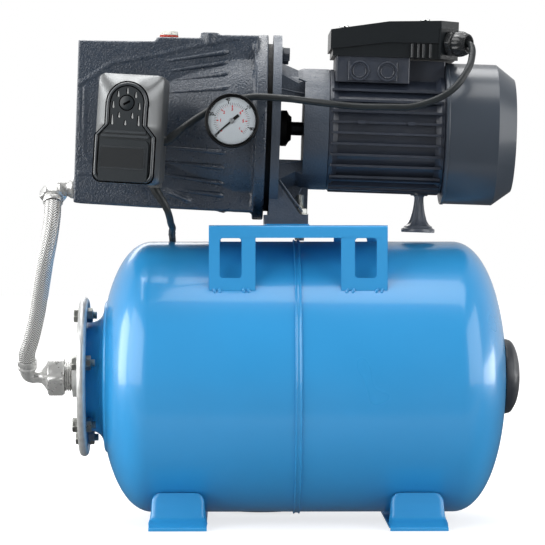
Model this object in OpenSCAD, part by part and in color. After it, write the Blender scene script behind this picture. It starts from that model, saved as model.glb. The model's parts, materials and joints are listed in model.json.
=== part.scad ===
// Booster pump set: a self-priming jet pump and its motor on a horizontal pressure tank, with a
// pressure switch, a gauge and a braided hose from the pump to the tank.
// +Z is up, +X runs from the hose to the fan, and the front is -Y. The origin is on the floor, in the
// middle of the four holes of the feet.

/* [Tank] */
// Outside diameter of the tank
tank_d = 278; // [234:1:336]
// Length of the tank over both domes
tank_l = 417; // [400:1:500]
// Depth of each dome
dome_h = 55; // [46:1:66]
// Fullness of a dome's curve, where 2 is an ellipse
dome_n = 2.15; // [2:0.05:2.4]
// Thickness of the tank's sheet
tank_t = 1.8; // [1.5:0.1:2.2]
// Gap between the tank and the floor
tank_gap = 8.5; // [8:0.5:14]
// How far the tank's middle lies to the right of the feet's middle
tank_shift = 6.4; // [0:0.2:10]
// Width of the weld bead round the middle
bead_w = 7; // [5:0.5:9]
// Height of the weld bead
bead_h = 2.5; // [1.5:0.1:3]
// Radius of the tank's neck
neck_r = 55; // [50:1:58]
// Length of the neck beyond the dome
neck_l = 15; // [13:1:20]

/* [Tank flange] */
// Radius of the flange
flange_r = 82; // [80:0.5:90]
// Thickness of the flange's plate
flange_t = 2.5; // [2:0.1:3]
// Radius of the flange's bolt circle
flange_bolt_r = 66; // [65:0.5:67]
// Number of flange bolts
flange_bolts = 6; // [4:1:8]
// Radius of the port's thread
port_r = 15.15; // [15.1:0.05:15.2]

/* [Feet and platform] */
// Distance between the two feet
foot_pitch = 240; // [230:1:260]
// Width of a foot at the floor
foot_w = 58; // [50:1:64]
// Width of a foot's tab at the tank
tab_w = 52; // [44:1:56]
// Height at which a tab meets the tank
tab_h = 35; // [30:1:38]
// Length of a foot from front to back
foot_l = 236; // [230:1:260]
// Thickness of the feet's sheet
foot_t = 2.5; // [2:0.1:3]
// Distance between a foot's two holes
hole_pitch = 140; // [130:1:150]
// Radius of the feet's holes
hole_r = 4.5; // [4:0.1:5]
// Length of the pump platform
plat_l = 178; // [170:1:190]
// Depth of the pump platform
plat_w = 211; // [206:1:220]
// Height of the platform above the top of the tank
plat_rise = 16.8; // [12:0.1:20]
// Thickness of the platform's sheet
plat_t = 2.5; // [2:0.1:3]
// Height of the platform's front and back lips
plat_lip = 12.5; // [11:0.1:13]
// Width of a platform leg
leg_w = 46.5; // [42:0.5:50]

/* [Pump] */
// Height of the shaft above the platform's pad, at the platform's middle
shaft_rise = 98; // [97:0.5:102]
// How far the motor's end leans down, in degrees
pump_tilt = 1.9; // [0:0.1:2]
// Radius of the casing's flange
pump_r = 95; // [95:0.5:98]
// Length of the casing
casing_l = 192; // [190:1:205]
// Thickness of the casing's wall
casing_t = 7; // [6:0.5:8]
// Radius of the impeller
impeller_r = 62; // [52:1:66]
// Radius of the circle of the casing's bolts
pump_bolt_r = 81; // [80:0.5:81.5]
// Angle of the casing's bolts from upright
pump_bolt_angle = 24; // [20:1:40]

/* [Motor] */
// Length of the motor's housing
housing_l = 118; // [118:1:130]
// Radius over the housing's fins
fin_r = 64; // [61:0.5:66]
// Distance between fins
fin_pitch = 11; // [9:0.5:13]
// Thickness of a fin
fin_t = 2.4; // [1.8:0.1:3]
// Radius of the stator
stator_r = 51; // [49:0.5:52]
// Radius of the rotor
rotor_r = 27; // [22:0.5:32]
// Radius of the shaft in the pump
shaft_r = 7; // [6:0.1:7.2]
// Radius of the shaft in its bearings
journal_r = 7.47; // [7.3:0.01:7.48]
// Radius of the fan cover
cowl_r = 72.3; // [70:0.1:76]
// Length of the fan cover
cowl_l = 72; // [72:1:90]
// Length of the fan cover's bevel
cowl_bevel = 19; // [12:1:22]
// Radius of the fan cover's end
cowl_end_r = 58; // [54:0.5:62]
// Width of the terminal box
box_w = 96; // [90:1:104]

/* [Pressure switch and gauge] */
// Width of the pressure switch
switch_w = 66; // [60:1:70]
// Height of the pressure switch
switch_h = 108; // [104:1:112]
// Thickness of the switch's base
switch_base_t = 18; // [17:0.5:20]
// Depth of the switch's cover
switch_cover_t = 36; // [34:0.5:40]
// Radius of the gauge
gauge_r = 26; // [25:0.5:28]
// Depth of the gauge's case
gauge_t = 27; // [24:0.5:30]

/* [Hose and cords] */
// Diameter of the braided hose
hose_d = 17.5; // [16:0.5:18]
// Diameter of the motor lead and the mains cord
cord_d = 7; // [6:0.1:7]

/* [Hidden] */
$fn = 48;

// Clearances
seat_gap = 0.3;
slip_gap = 0.05;
cut = 0.5;

// Tank
tank_r = tank_d / 2;
tank_z = tank_gap + tank_r;
left_apex = tank_shift - tank_l / 2;
right_apex = tank_shift + tank_l / 2;
dome_steps = 14;
lip_t = 2.5;
lip_r = flange_bolt_r + 6.5;
lip_x = left_apex - neck_l;
membrane_t = 2.5;
flange_x = lip_x - membrane_t;
flange_face_x = flange_x - flange_t;
rim_r = 4.5;
collar_r = 21;
collar_l = 7.6;
m8_r = 4;
m8_hole_r = 4.3;
m8_af = 13;
m8_head = 6.5;

// Platform
plat_top = tank_z + tank_r + plat_rise;
pad_t = 1.4;
pad_top = plat_top + pad_t;
window_w = 21.5;
window_h = 39.5;
window_r = 3;
window_in = 11;
window_drop = 12.8;
stud_x = 3.4;
stud_y = 43;
stud_top = pad_top + 29.5;
stud_low = pad_top - 17;

// Pump, along its own axis
axis_z = pad_top + shaft_rise;
flange_right = -31.4;
seal_plate_t = 5;
seal_plate_x = flange_right + 0.1;
bracket_x = seal_plate_x + seal_plate_t + 0.1;
bracket_flange_t = 8.7;
lantern_x = bracket_x + bracket_flange_t;
lantern_end = 32;
ring_x = 7;
lantern_r = 62;
casing_x = flange_right - casing_l;
casing_flange_t = 11.3;
block_w = 116;
hollow_r = max(pump_r - 22, impeller_r + 4);
bolt_circle = max(pump_bolt_r, hollow_r + m8_r + 1.5);
flange_out = max(pump_r, bolt_circle + 12);
discharge_x = -73;
boss_top = 92.5;
prime_x = -133.6;
drain_x = -190;
drain_z = -66;
prime_top = 89;
hose_port_y = -40;
hose_port_z = -68.6;
hose_port_r = 9.3;
gasket_t = 2.3;
window_low = -31;
window_high = 29;

// Motor, along the same axis
housing_end = lantern_end + housing_l;
bearing_r = 17.5;
bearing_w = 11;
bearing_bore = 7.5;
front_bearing_x = 14.2;
rear_bearing_x = housing_end - 10;
core_x = 52;
core_l = 74;
winding_l = 13;
block_top = 74;
shield_t = 7;
fan_x = housing_end + 12;
cowl_t = 2;
fins_out = max(fin_r, stator_r + 9);
fin_zs = [for (i = [-5:4]) 6.7 - fin_pitch + i * fin_pitch];
tie_r = stator_r - 5.5;
tie_angles = [45, 135, 225, 315];
tie_bolt_r = 2;

// Terminal box
box_x0 = 31.3;
box_x1 = 162.5;
box_t = 2.2;
corner_x = 143;
corner_y = 26;
corner_high = 104;
gland_at = [(corner_x + box_x1) / 2, -box_w / 2 + corner_y / 2, 90];
gland_turn = -atan2(box_x1 - corner_x, corner_y);
gland_af = 24;
cord_r = cord_d / 2;
cord_gap = 0.1;

// Pressure switch and gauge
switch_at = [-161.5, -96.8, 398];
switch_roll = 3.5;
switch_yaw = -10;
coupling_v = -24;
coupling_r = 8;
lever_v = 17;
mains_u = 24;
lead_v = -9;
gauge_at = [-66.1, 1.2];
gauge_front = -139;
gauge_wall = 2;
pointer_rest = 220;

// Hose ends: the elbow at the pump leans to the front, the elbow at the tank leans as well
hose_reach = 21.4;
corner_along = casing_x - hose_reach;
upper_corner = [corner_along * cos(pump_tilt) + hose_port_z * sin(pump_tilt), hose_port_y,
    axis_z - corner_along * sin(pump_tilt) + hose_port_z * cos(pump_tilt)];
lower_reach = 53.9;
lower_corner = [flange_face_x - lower_reach, 0, tank_z];
upper_lean = 35;
lower_lean = 37;

// Cords: each route is a list of points in millimetres
hose_route = [[-246.9, -51.9, 325.3], [-247.1, -59, 313], [-248.3, -63.8, 300.5], [-250.1, -66, 288],
    [-252.3, -65.8, 276.5], [-254.5, -63.7, 265], [-256.6, -59.5, 253], [-258.8, -53.9, 241],
    [-261, -48.2, 229], [-263, -43.3, 218.5], [-265.6, -38.3, 207], [-268.6, -33, 195.5],
    [-271.8, -27.2, 184.5], [-275.2, -20.4, 174.7], [-276, -14.7, 167]];
lead_route = [[-138.5, -112, 387.5], [-131, -113.5, 387], [-125, -114, 391], [-118, -113, 397],
    [-106, -109, 406], [-94, -105, 414], [-82, -102, 421], [-70, -101, 426], [-58, -101, 429],
    [-46, -101, 431], [-34, -101, 431], [-20, -99, 430], [-6, -97, 429], [12, -90, 427], [32, -83, 425],
    [52, -80, 423], [72, -79, 422], [92, -79, 422], [112, -80, 422], [129, -81, 426], [146, -82, 433],
    [160, -80, 444], [170, -74, 458], [174, -69, 466], [176, -63, 473], [177, -57, 480],
    [176, -52, 485], [173, -48, 487], [169, -45, 487]];
mains_route = [[-142, -108.3, 350], [-142.6, -108.3, 341.5], [-140, -109, 335], [-134, -110, 326],
    [-130, -107, 318], [-128, -98, 311], [-127, -86, 305], [-126, -71, 302], [-126, -54, 300],
    [-127, -36, 297], [-127, -18, 295], [-128, 0, 294], [-128, 20, 293], [-128, 40, 289], [-128, 59, 282],
    [-128, 76, 273], [-128, 93, 261], [-128, 107, 247], [-128, 120, 231], [-128, 130, 213],
    [-128, 138, 195], [-128, 142, 175], [-128, 145, 155], [-128, 146, 134], [-128, 146, 116],
    [-128, 146, 98], [-127, 147, 80], [-124, 148, 62], [-119, 149, 45], [-110, 150, 30],
    [-99, 151, 18], [-86, 152, 10], [-72, 153, 5], [-58, 154, 4]];
coil_at = [-35, 112];
coil_r = 38.5;
coil_turn_rows = 2;
plug_turn = -15;
plug_start = [-8, 148];
plug_r = 18.5;
plug_z = 18.7;
steel = "silver";
casting = "#3f4a56";
blue = "#3f9bdc";

// Shapes

module lathe(points) {
    rotate([0, 90, 0]) rotate_extrude() polygon(points);
}

module rod(x0, x1, r) {
    translate([x0, 0, 0]) rotate([0, 90, 0]) cylinder(h = x1 - x0, r = r);
}

module cone(x0, x1, r0, r1) {
    translate([x0, 0, 0]) rotate([0, 90, 0]) cylinder(h = x1 - x0, r1 = r0, r2 = r1);
}

module pipe(x0, x1, r, bore) {
    difference() {
        rod(x0, x1, r);
        rod(x0 - cut, x1 + cut, bore);
    }
}

module hex_rod(x0, x1, across) {
    translate([x0, 0, 0]) rotate([0, 90, 0]) cylinder(h = x1 - x0, r = across / sqrt(3), $fn = 6);
}

module front_rod(y0, y1, r) {
    translate([0, y1, 0]) rotate([90, 0, 0]) cylinder(h = y1 - y0, r = r);
}

module side_plate(y0, y1, points) {
    translate([0, y1, 0]) rotate([90, 0, 0]) linear_extrude(y1 - y0) polygon(points);
}

module box(x0, x1, y0, y1, z0, z1) {
    translate([x0, y0, z0]) cube([x1 - x0, y1 - y0, z1 - z0]);
}

module rounded_box(w, h, r) {
    square([w - 2 * r, h], center = true);
    square([w, h - 2 * r], center = true);
    for (i = [-1, 1], j = [-1, 1])
        translate([i * (w / 2 - r), j * (h / 2 - r)]) circle(r);
}

module on_tank() {
    translate([0, 0, tank_z]) children();
}

module on_pump() {
    translate([0, 0, axis_z]) rotate([0, pump_tilt, 0]) children();
}

// A frame with x to the switch's right, y out of its front and z up
module on_switch() {
    translate(switch_at) rotate([0, switch_roll, switch_yaw]) children();
}

module on_gland() {
    on_pump() translate(gland_at) rotate([0, 0, gland_turn]) children();
}

module around(n, first = 0) {
    for (i = [0:n - 1]) rotate([first + i * 360 / n, 0, 0]) children();
}

module at_pump_bolts() {
    for (a = [-1, 1], up = [0, 180])
        rotate([up + a * pump_bolt_angle, 0, 0]) translate([0, 0, bolt_circle]) children();
}

// A cord: rings of points carried along its route without turning

function unit(v) = v / norm(v);
function heading(p, i) = unit(p[min(i + 1, len(p) - 1)] - p[max(i - 1, 0)]);
function level(v, along) = unit(v - (v * along) * along);
function across(p, i) = i == 0
    ? level([0.3, 1, 0.1], heading(p, 0))
    : level(across(p, i - 1), heading(p, i));
function ring(p, i, r, n) = let (a = heading(p, i), s = across(p, i), u = cross(a, s))
    [for (k = [0:n - 1]) p[i] + r * (cos(360 * k / n) * s + sin(360 * k / n) * u)];

module cord(p, d, n = 10) {
    rings = len(p);
    points = [for (i = [0:rings - 1]) each ring(p, i, d / 2, n)];
    sides = [for (i = [0:rings - 2], k = [0:n - 1])
        [i * n + k, (i + 1) * n + k, (i + 1) * n + (k + 1) % n, i * n + (k + 1) % n]];
    start = [for (k = [0:n - 1]) k];
    end = [for (k = [n - 1:-1:0]) (rings - 1) * n + k];
    polyhedron(points, concat(sides, [start, end]));
}

// Tank

function dome(r, h, x0, side, a0, a1) = [for (i = [0:dome_steps])
    let (a = a0 + (a1 - a0) * i / dome_steps)
        [r * pow(cos(a), 2 / dome_n), x0 + side * h * pow(sin(a), 2 / dome_n)]];

module tank_shell_left() {
    start = left_apex + dome_h;
    a = acos(pow(neck_r / tank_r, dome_n / 2));
    b = acos(pow((neck_r - tank_t) / (tank_r - tank_t), dome_n / 2));
    color(blue) on_tank() difference() {
        lathe(concat([[tank_r, 0]], dome(tank_r, dome_h, start, -1, 0, a),
            [[neck_r, lip_x + lip_t], [lip_r, lip_x + lip_t], [lip_r, lip_x], [neck_r - tank_t, lip_x]],
            dome(tank_r - tank_t, dome_h - tank_t, start, -1, b, 0), [[tank_r - tank_t, 0]]));
        around(flange_bolts, 15) translate([0, 0, flange_bolt_r])
            rod(lip_x - cut, lip_x + lip_t + cut, m8_hole_r);
    }
}

module tank_shell_right() {
    start = right_apex - dome_h;
    color(blue) on_tank() difference() {
        lathe(concat([[tank_r, 0]], dome(tank_r, dome_h, start, 1, 0, 90),
            dome(tank_r - tank_t, dome_h - tank_t, start, 1, 90, 0), [[tank_r - tank_t, 0]]));
        rod(right_apex - 5, right_apex + 5, 6);
    }
}

module tank_weld_seam() {
    color(blue) on_tank() lathe([[tank_r, -bead_w / 2], [tank_r + bead_h * 0.6, -bead_w / 2 + 0.6],
        [tank_r + bead_h, -bead_w / 4], [tank_r + bead_h, bead_w / 4],
        [tank_r + bead_h * 0.6, bead_w / 2 - 0.6], [tank_r, bead_w / 2]]);
}

module tank_flange() {
    rim_x = flange_face_x + rim_r;
    color(steel) on_tank() difference() {
        union() {
            rod(flange_face_x, flange_x, flange_r - rim_r);
            rotate([0, 90, 0]) rotate_extrude() translate([flange_r - rim_r, rim_x]) circle(rim_r);
            rod(flange_face_x - collar_l, flange_x, collar_r);
        }
        rod(flange_face_x - collar_l - cut, flange_x + cut, port_r);
        around(flange_bolts, 15) translate([0, 0, flange_bolt_r])
            rod(flange_face_x - cut, flange_x + cut, m8_hole_r);
    }
}

module flange_fasteners() {
    nut_x = lip_x + lip_t;
    color(steel) on_tank() around(flange_bolts, 15) translate([0, 0, flange_bolt_r]) {
        hex_rod(flange_face_x - m8_head, flange_face_x, m8_af);
        rod(flange_face_x - 1, nut_x + m8_head + 2, m8_r);
        difference() {
            hex_rod(nut_x, nut_x + m8_head, m8_af);
            rod(nut_x - cut, nut_x + m8_head + cut, m8_r + slip_gap);
        }
    }
}

module tank_membrane() {
    wall = 2.5;
    throat = neck_r - tank_t - 1;
    bag_r = tank_r - 22;
    bag_left = left_apex + 32;
    bag_right = right_apex - 30;
    color("#202022") on_tank() lathe(concat(
        [[throat + 5, lip_x], [throat + 5, flange_x], [throat - wall, flange_x],
            [throat - wall, bag_left - 6]],
        [for (i = [1:6]) [throat - wall + (bag_r - wall - throat + wall) * sin(i * 15),
            bag_left - 6 + 40 * (1 - cos(i * 15))]],
        dome(bag_r - wall, 40 - wall, bag_right - 40, 1, 0, 90),
        dome(bag_r, 40, bag_right - 40, 1, 90, 0),
        [for (i = [6:-1:1]) [throat + (bag_r - throat) * sin(i * 15),
            bag_left - 6 - wall + 40 * (1 - cos(i * 15))]],
        [[throat, bag_left - 12], [throat, lip_x]]));
}

module air_valve() {
    color("goldenrod") on_tank() {
        rod(right_apex, right_apex + 2, 13);
        rod(right_apex - 3, right_apex + 1, 5.9);
        rod(right_apex + 1, right_apex + 7, 5);
        rod(right_apex + 6, right_apex + 11, 3.8);
    }
}

module valve_cap() {
    base_x = right_apex - dome_h * (1 - pow(1 - pow(36 / tank_r, dome_n), 1 / dome_n)) + seat_gap;
    top_x = right_apex + 15.5;
    color("#3a3c40") on_tank() lathe([[38.5, base_x], [38.5, base_x + 3], [36, base_x + 8],
        [31, base_x + 12], [22, top_x - 2.2], [10, top_x - 0.5], [0, top_x], [0, top_x - 2.5],
        [10, top_x - 3], [21, top_x - 4.7], [29.5, base_x + 9.5], [33.8, base_x + 6.5],
        [36, base_x + 2.5], [36, base_x]]);
}

module tank_foot(x) {
    half = foot_l / 2;
    tab_y = sqrt(pow(tank_r, 2) - pow(tank_z - tab_h, 2)) + seat_gap;
    root = tab_y + 7;
    profile = [[-half, 0], [-half, foot_t - 1], [-root - 3, 6], [-tab_y - foot_t, tab_h],
        [-tab_y, tab_h], [-root + foot_t, foot_t]];
    color(blue) translate([x, 0, 0]) difference() {
        intersection() {
            rotate([90, 0, 90]) translate([0, 0, -foot_w / 2]) linear_extrude(foot_w)
                polygon(concat(profile, [for (i = [len(profile) - 1:-1:0]) [-profile[i][0], profile[i][1]]]));
            translate([0, half, 0]) rotate([90, 0, 0]) linear_extrude(foot_l) union() {
                translate([0, tab_h - 20]) rounded_box(tab_w, 40, 10);
                polygon([[-foot_w / 2, -1], [foot_w / 2, -1], [foot_w / 2, 2], [tab_w / 2, 7],
                    [tab_w / 2, tab_h - 15], [-tab_w / 2, tab_h - 15], [-tab_w / 2, 7], [-foot_w / 2, 2]]);
            }
        }
        for (y = [-1, 1]) translate([0, y * hole_pitch / 2, -cut]) cylinder(h = 10, r = hole_r);
    }
}

module tank_foot_left() {
    tank_foot(-foot_pitch / 2);
}

module tank_foot_right() {
    tank_foot(foot_pitch / 2);
}

module pump_platform() {
    half_l = plat_l / 2;
    half_w = plat_w / 2;
    low = tank_z + sqrt(pow(tank_r, 2) - pow(half_w, 2)) - 1;
    color(blue) difference() {
        union() {
            box(-half_l, half_l, -half_w, half_w, plat_top - plat_t, plat_top);
            box(-33, 12, -62, 62, plat_top - 1, pad_top);
            for (y = [-half_w, half_w - plat_t]) {
                box(-half_l, half_l, y, y + plat_t, plat_top - plat_lip, plat_top);
                box(-half_l, -half_l + leg_w, y, y + plat_t, low, plat_top);
                box(half_l - leg_w, half_l, y, y + plat_t, low, plat_top);
            }
        }
        on_tank() rod(-plat_l, plat_l, tank_r + 0.2);
        for (x = [-1, 1])
            translate([x * (half_l - window_in - window_w / 2), half_w + cut,
                plat_top - window_drop - window_h / 2])
                rotate([90, 0, 0]) linear_extrude(plat_w + 1) rounded_box(window_w, window_h, window_r);
        for (y = [-1, 1]) translate([stud_x, y * stud_y, plat_top - 10])
            cylinder(h = 20, r = m8_hole_r);
    }
}

// Pump

function bell(grow) = [[0, casing_x + grow], [42 - grow, casing_x + grow], [62 - grow, casing_x + 34],
    [69 - grow, -137], [80 - grow, -95], [88 - grow, -62], [88 - grow, flange_right - 5],
    [0, flange_right - 5]];

module pump_casing() {
    half = block_w / 2;
    flange_left = flange_right - casing_flange_t;
    color(casting) {
        difference() {
            union() {
                on_pump() {
                    lathe(bell(0));
                    side_plate(-half, half, [[casing_x, -84], [casing_x, 80], [-147, 81.5], [-143, 86],
                        [-98, 86.5], [-94, 90], [flange_left + 1, 91], [flange_left + 1, -88],
                        [-150, -86]]);
                    rod(flange_left, flange_right, flange_out);
                    translate([0, hose_port_y, hose_port_z]) rod(casing_x, -150, 15);
                    translate([discharge_x, 0, 60]) cylinder(h = boss_top - 60, r = 22.5);
                    translate([prime_x, 0, 60]) cylinder(h = prime_top - 60, r = 13);
                    translate([gauge_at[0], 0, gauge_at[1]]) front_rod(-92, -70, 12);
                }
                on_switch() translate([0, 0, coupling_v]) front_rod(27, 60, 13);
            }
            on_pump() {
                lathe([[0, casing_x + 20], [46, casing_x + 20], [55, casing_x + 40], [62, -137],
                    [72, -95], [hollow_r, -75], [hollow_r, flange_right + cut], [0, flange_right + cut]]);
                box(casing_x + casing_t + 3, -52, -half + casing_t, half - casing_t, 40, 74);
                box(casing_x + casing_t + 3, -52, -half + casing_t, half - casing_t, -78, -40);
                rod(casing_x - cut, casing_x + 21, port_r);
                translate([discharge_x, 0, 60]) cylinder(h = boss_top - 60 + cut, r = port_r);
                translate([prime_x, 0, 60]) cylinder(h = prime_top - 60 + cut, r = 6.5);
                translate([0, hose_port_y, hose_port_z]) rod(casing_x - cut, casing_x + 22, hose_port_r);
                translate([gauge_at[0], 0, gauge_at[1]]) front_rod(-93, -60, 6.6);
                translate([drain_x, 0, drain_z]) front_rod(40, half + 1, 6.6);
                at_pump_bolts() rod(flange_left - cut, flange_right + cut, m8_r + 0.1);
            }
            on_switch() translate([0, 0, coupling_v]) front_rod(26, 62, coupling_r + slip_gap);
        }
    }
}

module seal_plate() {
    color("#17181a") on_pump() difference() {
        rod(seal_plate_x, seal_plate_x + seal_plate_t, bolt_circle + 5);
        rod(seal_plate_x - cut, seal_plate_x + seal_plate_t + cut, 13.6);
        at_pump_bolts() rod(seal_plate_x - cut, seal_plate_x + seal_plate_t + cut, m8_hole_r);
    }
}

module motor_bracket() {
    arm_w = 40;
    wall_y = 56;
    color(casting) difference() {
        union() {
            on_pump() {
                rod(bracket_x, lantern_x, flange_out);
                intersection() {
                    lathe([[0, bracket_x], [70, bracket_x], [67, lantern_x], [60, 0],
                        [lantern_r, 6], [lantern_r, lantern_end], [0, lantern_end]]);
                    union() {
                        box(bracket_x, lantern_end, -arm_w, arm_w, window_high, 75);
                        box(bracket_x, lantern_end, -arm_w, arm_w, -75, window_low - 2);
                    }
                }
                rod(ring_x, lantern_end, lantern_r);
                rod(lantern_end - 1, lantern_end + 3, stator_r - slip_gap);
                for (y = [-1, 1]) side_plate(y * wall_y - 4, y * wall_y + 4,
                    [[bracket_x, -40], [lantern_x, -40], [lantern_x, -57], [5.2, -87.5], [5.2, -97],
                        [bracket_x, -97]]);
                box(bracket_x, lantern_x, -wall_y, wall_y, -102, -50);
                box(-18, 14, -14, 14, -97, -50);
            }
            box(-33, 11, -wall_y - 4, wall_y + 4, pad_top, pad_top + 9.2);
        }
        on_pump() {
            rod(bracket_x - cut, lantern_x + cut, 20);
            rod(ring_x - cut, front_bearing_x, 12);
            rod(front_bearing_x, lantern_end + 4, bearing_r + slip_gap);
            rod(lantern_end - 4, lantern_end + 4, tie_r - tie_bolt_r - 2.5);
            at_pump_bolts() rod(bracket_x - cut, lantern_x + cut, m8_hole_r);
            for (a = tie_angles) rotate([a, 0, 0]) translate([0, 0, tie_r])
                rod(lantern_end - 12, lantern_end + 4, tie_bolt_r + 0.1);
        }
        box(-60, 60, -90, 90, pad_top - 30, pad_top);
        for (y = [-1, 1]) translate([stud_x, y * stud_y, pad_top - 1])
            cylinder(h = 30, r = m8_hole_r);
    }
}

module casing_bolts() {
    color(steel) on_pump() at_pump_bolts() {
        rod(flange_right - 10, lantern_x + 1, m8_r);
        hex_rod(lantern_x, lantern_x + m8_head + 1.5, m8_af);
    }
}

module platform_fasteners() {
    nut_low = pad_top + 9.2;
    color(steel) for (y = [-1, 1]) translate([stud_x, y * stud_y, 0]) {
        translate([0, 0, stud_low]) cylinder(h = stud_top - stud_low, r = m8_r);
        for (z = [nut_low, plat_top - plat_t - m8_head]) translate([0, 0, z]) difference() {
            cylinder(h = m8_head, r = m8_af / sqrt(3), $fn = 6);
            translate([0, 0, -cut]) cylinder(h = m8_head + 1, r = m8_r + slip_gap);
        }
    }
}

module priming_plug() {
    low = prime_top + gasket_t;
    color("#e6e4dc") on_pump() translate([prime_x, 0, 0]) {
        translate([0, 0, low]) cylinder(h = 4.6, r = 17 / sqrt(3), $fn = 6);
        translate([0, 0, prime_top - 14]) cylinder(h = 14 + gasket_t + 1, r = 6.2);
    }
}

module priming_gasket() {
    color("firebrick") on_pump() translate([prime_x, 0, prime_top]) difference() {
        cylinder(h = gasket_t, r = 9.2);
        translate([0, 0, -cut]) cylinder(h = gasket_t + 1, r = 6.5);
    }
}

module drain_plug() {
    back = block_w / 2;
    color(steel) on_pump() translate([drain_x, 0, drain_z]) {
        translate([0, back + 5, 0]) rotate([90, 0, 0]) cylinder(h = 5, r = 17 / sqrt(3), $fn = 6);
        front_rod(back - 10, back + 1, 6.5);
    }
}

module ejector() {
    left = casing_x + 20 + seat_gap;
    color("#d8d6cc") on_pump() lathe([[20, left], [20, -185], [13, -165], [13, -150],
        [20.7, -105], [20.7, -76], [16, -76], [15, -105], [6, -150], [6, -165], [16, -190], [16, left]]);
}

module diffuser() {
    rim = hollow_r - 0.3;
    color("#2b2c2e") on_pump() lathe([[21, -90], [24.5, -90], [24.5, -69], [rim, -69],
        [rim, seal_plate_x - 0.2], [rim - 3, seal_plate_x - 0.2], [rim - 3, -66], [21, -66]]);
}

module impeller() {
    color("#c9a34e") on_pump() {
        difference() {
            union() {
                rod(-61, -46.2, 12);
                rod(-49, -46.2, impeller_r);
                for (i = [0:5]) rotate([i * 60, 0, 0]) translate([0, 0, 8]) rotate([28, 0, 0])
                    box(-58, -48, -1.3, 1.3, 3, impeller_r - 13);
                pipe(-59, -57, impeller_r - 4, 19);
            }
            rod(-62, -46, shaft_r);
        }
    }
}

module seal_ring() {
    color("#55504a") on_pump() {
        pipe(-45.9, -39, 12.5, shaft_r);
        pipe(-39, seal_plate_x - 4.8, 11, shaft_r);
    }
}

module seal_seat() {
    color("#d9d4c8") on_pump() pipe(seal_plate_x - 4.5, seal_plate_x + seal_plate_t, 13.5, shaft_r + 1);
}

module water_slinger() {
    color("#141516") on_pump() lathe([[shaft_r, lantern_x + 0.5], [17, lantern_x + 0.5],
        [18.4, lantern_x + 2], [18.4, lantern_x + 7.5], [14, lantern_x + 10], [12, lantern_x + 12.5],
        [shaft_r, lantern_x + 12.5]]);
}

// Motor

module motor_shaft() {
    front = front_bearing_x;
    rear = rear_bearing_x;
    color(steel) on_pump() lathe([[0, -64], [shaft_r - 1, -64], [shaft_r, -63], [shaft_r, front - 1],
        [journal_r, front - 1], [journal_r, front + bearing_w + 0.3], [9, front + bearing_w + 0.3],
        [9, rear - 0.3], [journal_r, rear - 0.3], [journal_r, rear + bearing_w + 1],
        [shaft_r, rear + bearing_w + 1], [shaft_r, fan_x + 26], [0, fan_x + 26]]);
}

module rotor_core() {
    color("#8d8f92") on_pump() pipe(core_x, core_x + core_l, rotor_r, 9);
}

module stator_core() {
    color("#6c6f73") on_pump() difference() {
        pipe(core_x, core_x + core_l, stator_r - 0.1, rotor_r + 0.4);
        for (a = tie_angles) rotate([a, 0, 0]) translate([0, 0, tie_r])
            rod(core_x - cut, core_x + core_l + cut, tie_bolt_r + 0.2);
    }
}

module stator_windings() {
    color("#b5652a") on_pump() for (x = [core_x - winding_l, core_x + core_l])
        pipe(x, x + winding_l, tie_r - tie_bolt_r - 1, rotor_r + 3);
}

module motor_housing() {
    wall_r = stator_r + 4;
    end_r = lantern_r;
    x0 = lantern_end;
    x1 = housing_end;
    color(casting) on_pump() difference() {
        union() {
            rod(x0, x1, wall_r);
            rod(x0, x0 + 4, end_r);
            rod(x1 - 5, x1, end_r);
            intersection() {
                rod(x0 + 3, x1 - 4, fins_out);
                union() {
                    for (z = fin_zs) box(x0, x1, -70, 70, z - fin_t / 2, z + fin_t / 2);
                    for (a = [-125:10:-55]) rotate([a - 90, 0, 0])
                        box(x0, x1, -fin_t / 2, fin_t / 2, 50, 70);
                    for (y = [-2:2]) box(112, x1, y * fin_pitch - fin_t / 2, y * fin_pitch + fin_t / 2,
                        40, 70);
                }
            }
            box(37.6, 112.7, -43, 43, 48, block_top);
            box(50, 100, -45, -40, 50, 69);
            box(112, x1 - 5, -38, 38, 40, block_top - 1.5);
            translate([129, 0, -fins_out - 0.9]) cylinder(h = 16, r = 9);
        }
        rod(x0 - cut, x1 + cut, stator_r);
        translate([75, 0, 40]) cylinder(h = 40, r = 12);
        for (x = [61.5, 89.8]) translate([x, 0, 59.4]) front_rod(-46, -44.2, 9);
        for (a = tie_angles) rotate([a, 0, 0]) translate([0, 0, tie_r]) rod(x0, x1, tie_bolt_r + 0.2);
        translate([129, 0, -fins_out - 1.4]) cylinder(h = 10, r = 3);
    }
}

module shaft_bearings() {
    color(steel) on_pump() for (x = [front_bearing_x, rear_bearing_x]) {
        difference() {
            rod(x, x + bearing_w, bearing_r);
            rod(x - cut, x + bearing_w + cut, bearing_bore);
            pipe(x - cut, x + 1, 15, 10);
            pipe(x + bearing_w - 1, x + bearing_w + cut, 15, 10);
        }
    }
}

module rear_shield() {
    x = housing_end;
    color(casting) on_pump() difference() {
        union() {
            rod(x, x + shield_t, cowl_r - cowl_t - 0.3);
            rod(x - 8, x, 23);
            rod(x - 3, x, stator_r - slip_gap);
        }
        rod(x - 9, x + 1, bearing_r + slip_gap);
        rod(x - 9, x + shield_t + cut, 12);
        for (a = tie_angles) rotate([a, 0, 0]) translate([0, 0, tie_r])
            rod(x - 4, x + shield_t + cut, tie_bolt_r + 0.3);
    }
}

module tie_bolts() {
    color(steel) on_pump() for (a = tie_angles) rotate([a, 0, 0]) translate([0, 0, tie_r]) {
        rod(lantern_end - 10, housing_end + shield_t + 1, tie_bolt_r);
        hex_rod(housing_end + shield_t, housing_end + shield_t + 3.5, 8);
    }
}

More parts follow.
